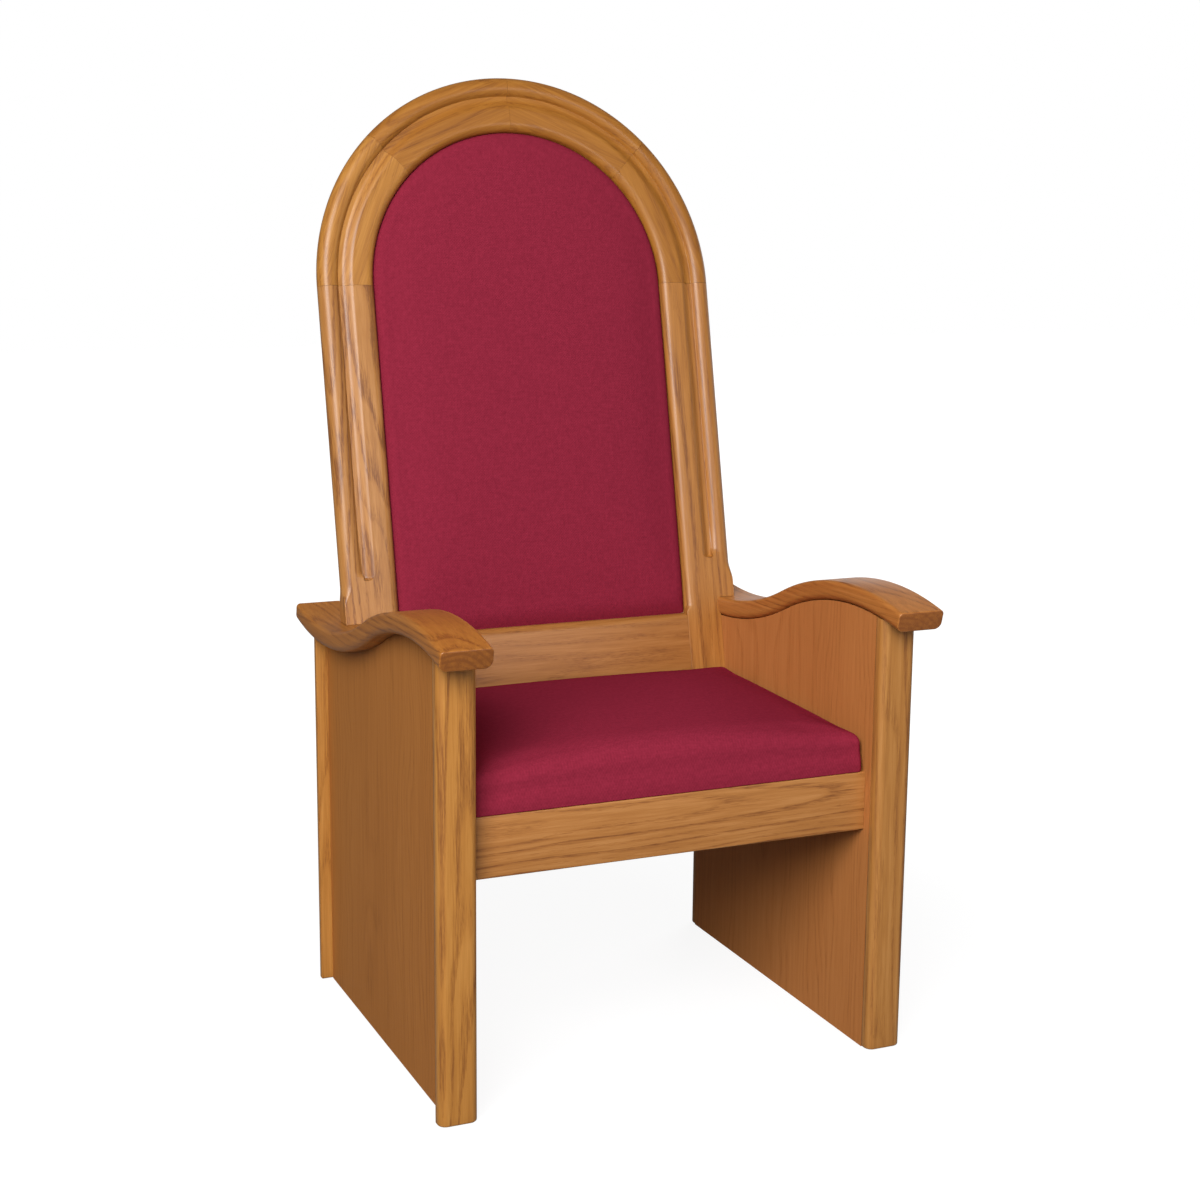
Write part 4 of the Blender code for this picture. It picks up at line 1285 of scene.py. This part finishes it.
@dataclass
class BackPad(Pad):
    """The arch-topped back pad.

    Attributes:
        back: The frame round it.
        reach: How far the filling may move any point.
        gap: Gap to the frame.
        crown: How far the face stands before the frame's front face.
        side_round: Width over which the face curves under along the sides and the arch.
        low_round: Height over which it curves under along the lower edge.
        drop: How deep it curves under.
        sink: Depth of its base behind the frame's front face.
        base_gap: Gap to the frame round the base.
        heart: How far below the springing the rings close in.
        blend: Height over which the lower edge's rounding turns into the sides'.
    """

    back: ArchedBack = None
    reach: float = 0.003
    gap: float = 0.0006
    crown: float = 0.009
    side_round: float = 0.018
    low_round: float = 0.036
    drop: float = 0.0142
    sink: float = 0.0150
    base_gap: float = 0.0001
    heart: float = 0.16
    blend: float = 0.03

    def shape(self) -> bpy.types.Object:
        """Rings of an arch-topped outline: out of the frame, round the edge and in over a low crown.

        The rounding is a quarter ellipse at the sides and a parabola along the lower edge. Past it, at the
        share t of the way in, the face stands proud by crown (1 - (1 - t)^3).

        Returns:
            The closed shape.
        """
        turn = np.radians(np.linspace(0.0, 90.0, 13))
        rest = np.linspace(0.0, 1.0, 34)[1:]
        bend = np.concatenate([[0.0, 0.0], turn, np.full(len(rest), math.pi / 2.0)])[:, None]
        past = np.concatenate([[0.0, 0.0], np.zeros(len(turn)), rest * 0.996])[:, None]
        gap = np.concatenate([[self.base_gap] * 2, np.full(len(turn) + len(rest), self.gap)])[:, None]
        wide, floor = self.back.opening - gap, self.back.rail_top + gap
        side = (wide - self.side_round * (1.0 - np.cos(bend))) * (1.0 - past)
        heart = self.back.spring - self.heart
        spring = self.back.spring + (heart - self.back.spring) * past
        low = floor + self.low_round * (1.0 - np.cos(bend))
        low = low + (heart - low) * past
        share = np.linspace(0.0, 1.0, 49)[None, :]
        zero = 0.0 * share
        right = np.stack([side + zero, low + (spring - low) * share], axis=-1)
        left = np.stack([-side + zero, spring + (low - spring) * share], axis=-1)
        base = np.stack([-side + 2.0 * side * share, low + zero], axis=-1)
        top = Surface.arc((0.0 * side, spring), side, 0.0, 180.0, 97)
        rows = np.concatenate([right[:, :-1], top[:, :-1], left[:, :-1], base[:, :-1]], axis=1)
        near_base = 1.0 - Surface.rise(rows[..., 1] - low, 0.0, self.blend)
        curve = (1.0 - np.sin(bend)) * (1.0 - near_base) + np.cos(bend) ** 2 * near_base
        depth = self.drop * curve - self.crown * (1.0 - (1.0 - past) ** 3)
        depth[0] = self.sink
        rings = np.stack([rows[..., 0], depth, rows[..., 1]], axis=-1)
        return Surface.loft(self.name, self.back.place(rings))

    def free(self, places: Array) -> Array:
        """The face is free, and the sides are held from 6 mm behind the frame's front face.

        Args:
            places: Vertex places.

        Returns:
            The shares.
        """
        lean, stand = math.sin(self.back.rake), math.cos(self.back.rake)
        depth = (places[:, 1] - self.back.foot_y) * stand - (places[:, 2] - self.back.foot_z) * lean
        return 1.0 - Surface.rise(depth, -0.002, 0.008)

    def build(self) -> list[bpy.types.Object]:
        """Builds, fills and dresses the pad.

        Returns:
            The pad, in a list.
        """
        pad = self.shape()
        self.fill(pad)
        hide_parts("back_cover", "back_foam")
        CLOTH.dress(pad, (math.pi / 2.0 + self.back.rake, 0.0, 0.0), (1.0, 1.0, 1.0))
        return [pad]


@dataclass
class SeatPad(Pad):
    """The seat pad: upright sides, a big soft front roll and a crown that falls to the rear.

    Attributes:
        back: The back, against which the rear side leans.
        corner: Radius of the corners in plan.
        edge: Height of the pad's edge above the rails, at the front.
        lift: How much higher the edge stands at the rear.
        crown: How far the crown stands above the edge.
        fall: Share of the crown that is lost at the rear.
        front_round: Rounding of the upper front edge, in the middle.
        corner_share: Share of that rounding that is lost at the front corners.
        side_round: Rounding of the upper edges at the sides and the rear.
        rear_gap: Gap to the leaning back.
        hem: How far the hem is turned in below the pad.
        blend: Distance over which the front's rounding turns into the sides'.
    """

    back: ArchedBack = None
    corner: float = 0.008
    edge: float = 0.0525
    lift: float = 0.0095
    crown: float = 0.020
    fall: float = 0.85
    front_round: float = 0.024
    corner_share: float = 0.5
    side_round: float = 0.008
    rear_gap: float = 0.003
    hem: float = 0.006
    blend: float = 0.022

    def shape(self) -> bpy.types.Object:
        """Rings of a rounded rectangle: a hem below, up the sides, round the edge and in over the crown.

        The crown is edge + lift back + crown (1 - across^2) (1 - fall back^2), with across and back running
        from 0 to 1, and the edge drops below it by the rounding times (1 - sin), from the front's rounding,
        which is smaller at the corners, to the sides'.

        Returns:
            The closed shape.
        """
        low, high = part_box("seat_cover")
        base, front, wide = low[2], low[1], high[0]
        lean = math.tan(self.back.rake)
        rear = self.back.foot_y + (base - self.back.foot_z) * lean - self.rear_gap
        turn = np.radians(np.linspace(0.0, 90.0, 15))
        rest = np.linspace(0.0, 1.0, 34)[1:]
        walls = 7
        bend = np.concatenate([np.zeros(2 + walls), turn[1:], np.full(len(rest), math.pi / 2.0)])[:, None]
        past = np.concatenate([np.zeros(2 + walls + len(turn) - 1), rest * 0.997])[:, None]
        hem = np.concatenate([[self.hem, self.hem / 5.0], np.zeros(len(bend) - 2)])[:, None]
        middle = (front + rear) / 2.0
        curl = self.side_round * (1.0 - np.cos(bend))
        half_x = (wide - curl - hem) * (1.0 - past)
        near = (front + self.front_round * (1.0 - np.cos(bend)) + hem) * (1.0 - past) + middle * past
        far = (rear - curl - hem) * (1.0 - past) + middle * past
        small = np.minimum(np.maximum(self.corner - curl * 0.6, 0.004), half_x * 0.3)
        run = np.linspace(0.0, 1.0, 61)[None, 1:-1]
        zero = 0.0 * run
        ring = np.concatenate([
            Surface.arc((half_x - small, far - small), small, 0.0, 90.0, 9),
            np.stack([(half_x - small) * (1.0 - 2.0 * run), far + zero], axis=-1),
            Surface.arc((-half_x + small, far - small), small, 90.0, 180.0, 9),
            np.stack([-half_x + zero, (far - small) + (near - far + 2.0 * small) * run], axis=-1),
            Surface.arc((-half_x + small, near + small), small, 180.0, 270.0, 9),
            np.stack([(half_x - small) * (2.0 * run - 1.0), near + zero], axis=-1),
            Surface.arc((half_x - small, near + small), small, 270.0, 360.0, 9),
            np.stack([half_x + zero, (near + small) + (far - near - 2.0 * small) * run], axis=-1),
        ], axis=1)
        x, y = ring[..., 0], ring[..., 1]
        across = np.clip(np.abs(x) / wide, 0.0, 1.0)
        back = np.clip((y - front) / (rear - front), 0.0, 1.0)
        crown = self.crown * (1.0 - across**2) * (1.0 - self.fall * back**2)
        top = base + self.edge + self.lift * back + crown
        local = self.front_round * (1.0 - self.corner_share * across**4)
        fore = 1.0 - Surface.rise(y - near, 0.0, self.blend)
        rounding = self.side_round + (local - self.side_round) * fore
        y = y - (self.front_round - local) * (1.0 - np.cos(bend)) * fore * (1.0 - past)
        z = top - rounding * (1.0 - np.sin(bend))
        z[2:2 + walls] = base + (z[1 + walls] - base) * np.linspace(0.0, 1.0, walls)[:, None]
        z[0], z[1] = base + self.hem, base
        y = y + np.maximum(z - base, 0.0) * lean * back
        return Surface.loft(self.name, np.stack([x, y, z], axis=-1))

    def free(self, places: Array) -> Array:
        """The top is free, and the lowest part is held by the deck.

        Args:
            places: Vertex places.

        Returns:
            The shares.
        """
        return Surface.rise(places[:, 2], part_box("seat_cover")[0][2] + 0.006, 0.024)

    def build(self) -> list[bpy.types.Object]:
        """Builds, fills and dresses the pad.

        Returns:
            The pad, in a list.
        """
        pad = self.shape()
        self.fill(pad)
        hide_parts("seat_cover", "seat_foam")
        CLOTH.dress(pad, (math.pi / 4.0, 0.0, 0.0), (1.0, math.sqrt(2.0), 1.0))
        return [pad]


@dataclass
class CarriedOver:
    """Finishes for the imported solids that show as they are.

    Attributes:
        plain: Finish of each hidden slot.
    """

    plain: tuple[PlainFinish, ...] = (
        PlainFinish("plywood", (0.36, 0.21, 0.10), (0.28, 0.155, 0.07)),
        PlainFinish("hidden_hardwood", (0.50, 0.34, 0.19), (0.40, 0.25, 0.13)),
        PlainFinish("beech", (0.58, 0.38, 0.22), (0.50, 0.31, 0.17)),
        PlainFinish("zinc_steel", (0.55, 0.54, 0.50), (0.48, 0.47, 0.44), 0.35, 1.0),
    )

    def dress(self) -> int:
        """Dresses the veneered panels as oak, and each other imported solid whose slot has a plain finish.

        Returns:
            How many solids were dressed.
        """
        slots = {row["node"]: row["material_slot"] for row in frame["record"]["subparts"]}
        finishes = {finish.slot: finish for finish in self.plain}
        count = 0
        for seed, (name, node) in enumerate(sorted(frame["nodes"].items())):
            slot = slots[name]
            if slot in finishes:
                finishes[slot].dress(node)
                count += 1
            elif slot == "oak_veneer":
                low, high = (np.array(corner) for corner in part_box(name))
                middle = (low + high) / 2.0
                face = np.zeros(3)
                face[int(np.argmin(high - low))] = -1.0
                # Inner panels take the copy with painted bounce light from the seat.
                finish = INNER_VENEER_PAINTED_BOUNCE if "inner" in name else VENEER
                finish.dress(node, Board((0, 0, 1), tuple(face), tuple(middle), depth=0.12, aside=0.05,
                                         tilt=0.8, spacing=0.010, sway=0.06, drift=0.4, figure=0.16,
                                         fibre=0.5), seed)
                count += 1
        return count


@dataclass(frozen=True)
class Lamp:
    """A square soft light that points at the chair.

    Attributes:
        name: The light's name.
        bearing: Degrees from the front, positive to the chair's right as the photograph shows it.
        elevation: Degrees above the horizon.
        distance: Distance from the target.
        size: Side of the light.
        watts: Its power.
        mirrored: Whether reflections show it.
    """

    name: str
    bearing: float
    elevation: float
    distance: float
    size: float
    watts: float
    mirrored: bool = True

    def hang(self, target: Triple) -> None:
        """Makes the light.

        Args:
            target: Where it points.
        """
        data = bpy.data.lights.new(self.name, "AREA")
        data.energy, data.shape, data.size = self.watts, "SQUARE", self.size
        light = bpy.data.objects.new(self.name, data)
        bpy.context.scene.collection.objects.link(light)
        turn, up = math.radians(self.bearing), math.radians(self.elevation)
        away = Vector((math.sin(turn) * math.cos(up), -math.cos(turn) * math.cos(up), math.sin(up)))
        light.location = Vector(target) + away * self.distance
        light.rotation_mode = "QUATERNION"
        light.rotation_quaternion = (-away).to_track_quat("-Z", "Y")
        light.visible_glossy = self.mirrored


@dataclass
class Studio:
    """Pale floor, white surround, soft lights and the camera of the photograph.

    Attributes:
        front: Y of the front posts' front face.
        target: Where the lights point.
        lamps: The lights.
        dim: Brightness of the surround's dark part in reflections.
        fill: Strength of the surround as fill light.
        reach: Half of the floor's side.
        glow: Brightness of the floor where it shows white.
        fade: Distances from the chair's middle between which the floor turns white.
        yaw: The camera's turn to the right, in radians.
        pitch: Its turn downwards.
        roll: Its turn about its own axis.
        lens: Its focal length in millimetres, for a film 36 mm wide.
        stand: Its place, with Y measured from the front posts' front face.
    """

    front: float
    target: Triple = (0.0, -0.02, 0.65)
    lamps: tuple[Lamp, ...] = (
        Lamp("key_light", -38.0, 30.0, 4.5, 2.4, 238.0),
        Lamp("fill_light", 16.0, 17.0, 3.0, 1.0, 12.0),
        Lamp("back_light", 132.0, 22.0, 4.5, 2.4, 84.0, mirrored=False),
    )
    dim: float = 0.08
    fill: float = 0.12
    reach: float = 14.0
    glow: float = 1.12
    fade: tuple[float, float] = (0.6, 1.7)
    yaw: float = 0.41382941
    pitch: float = 0.19418949
    roll: float = 0.00925548
    lens: float = 60.03
    stand: Triple = (-1.15818, -2.33809, 1.20090)

    def surround(self) -> None:
        """A white world for the camera, and a dim one as fill light.

        Reflections show the white part low down and towards the chair's right side alone.
        """
        world = bpy.data.worlds.new("surround")
        bpy.context.scene.world = world
        nodes = Nodes(world, blank=True)
        path = nodes.add("LightPath", {}).outputs
        aim = nodes.add("SeparateXYZ", {0: nodes.add("TexCoord", {}).outputs["Generated"]}).outputs
        low = nodes.span(aim["Z"], 0.16, 0.27, 1.0, self.dim)
        aside = nodes.span(aim["X"], 0.28, 0.50, self.dim, 1.0)
        mirrored = nodes.maths("MULTIPLY", path["Is Glossy Ray"], nodes.maths("MULTIPLY", low, aside))
        seen = nodes.maths("MAXIMUM", path["Is Camera Ray"], mirrored)
        fill = nodes.add("Background", {"Color": (0.95, 0.97, 1.0, 1.0), "Strength": self.fill})
        white = nodes.add("Background", {"Color": (1.0, 1.0, 1.0, 1.0), "Strength": 1.0})
        mix = nodes.add("MixShader", {"Fac": seen, 1: fill.outputs[0], 2: white.outputs[0]})
        nodes.add("OutputWorld", {"Surface": mix.outputs[0]})

    def floor(self) -> None:
        """A wide pale floor that shows near white, with the chair's soft shadow kept."""
        mesh = bpy.data.meshes.new("floor")
        corners = [(x * self.reach, y * self.reach, 0.0) for x, y in ((-1, -1), (1, -1), (1, 1), (-1, 1))]
        mesh.from_pydata(corners, [], [(0, 1, 2, 3)])
        floor = bpy.data.objects.new("floor", mesh)
        bpy.context.scene.collection.objects.link(floor)
        nodes = Nodes(bpy.data.materials.new("floor"), blank=True)
        path = nodes.add("LightPath", {}).outputs
        mirrored = nodes.maths("MULTIPLY", path["Is Glossy Ray"], 0.05)
        seen = nodes.maths("MAXIMUM", path["Is Camera Ray"], mirrored)
        away = nodes.add("VectorMath", {0: nodes.add("TexCoord", {}).outputs["Object"]}, operation="LENGTH")
        share = nodes.maths("MULTIPLY", seen, nodes.span(away.outputs["Value"], *self.fade, 0.80, 1.0))
        dull, matt = (nodes.add("BsdfDiffuse", {"Color": colour}).outputs[0]
                      for colour in ((0.21, 0.20, 0.19, 1.0), (0.80, 0.80, 0.80, 1.0)))
        lit = nodes.add("MixShader", {"Fac": path["Is Camera Ray"], 1: dull, 2: matt})
        glow = nodes.add("Emission", {"Color": (1.0, 1.0, 1.0, 1.0), "Strength": self.glow})
        mix = nodes.add("MixShader", {"Fac": share, 1: lit.outputs[0], 2: glow.outputs[0]})
        nodes.add("OutputMaterial", {"Surface": mix.outputs[0]})
        mesh.materials.append(nodes.owner)

    def camera(self) -> None:
        """The camera fitted to the photograph's edges."""
        ahead = Vector((math.sin(self.yaw), math.cos(self.yaw), 0.0))
        aside = Vector((math.cos(self.yaw), -math.sin(self.yaw), 0.0))
        rise = Vector((0.0, 0.0, 1.0))
        forward = ahead * math.cos(self.pitch) - rise * math.sin(self.pitch)
        over = rise * math.cos(self.pitch) + ahead * math.sin(self.pitch)
        right = aside * math.cos(self.roll) + over * math.sin(self.roll)
        up = over * math.cos(self.roll) - aside * math.sin(self.roll)
        data = bpy.data.cameras.new("camera")
        data.lens, data.sensor_width, data.clip_end = self.lens, 36.0, 60.0
        camera = bpy.data.objects.new("camera", data)
        bpy.context.scene.collection.objects.link(camera)
        turn = Matrix((right, up, -forward)).transposed().to_4x4()
        camera.matrix_world = Matrix.Translation(Vector(self.stand) + Vector((0.0, self.front, 0.0))) @ turn
        bpy.context.scene.camera = camera

    def build(self) -> None:
        """Sets the surround, the floor, the lights and the camera."""
        self.surround()
        self.floor()
        for lamp in self.lamps:
            lamp.hang(self.target)
        self.camera()
        bpy.context.scene.view_settings.view_transform = "Standard"


def main() -> None:
    """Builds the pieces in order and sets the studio."""
    logging.basicConfig(level=logging.INFO, format="%(name)s: %(message)s")
    layout = Layout.from_frame()
    back_front = layout.front + layout.back_setback
    wave = ArmWave(layout.front + layout.crest_setback, back_front + ArchedBack.thickness / 2.0)
    back = ArchedBack(layout, wave, back_front, wave.top - wave.drop)
    made = back.build()
    for side in Side:
        made += ChairEnd(layout, wave, side).build(back)
    made += SeatFrame().build()
    made += BackPad("back_pad", back=back).build()
    made += SeatPad("seat_pad", back=back).build()
    for piece in made:
        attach(piece, "root")
        log.info("%s: %d faces", piece.name, len(piece.data.polygons))
    log.info("%d packed solids dressed", CarriedOver().dress())
    Studio(layout.front).build()
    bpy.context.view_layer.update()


if __name__ == "__main__":
    main()
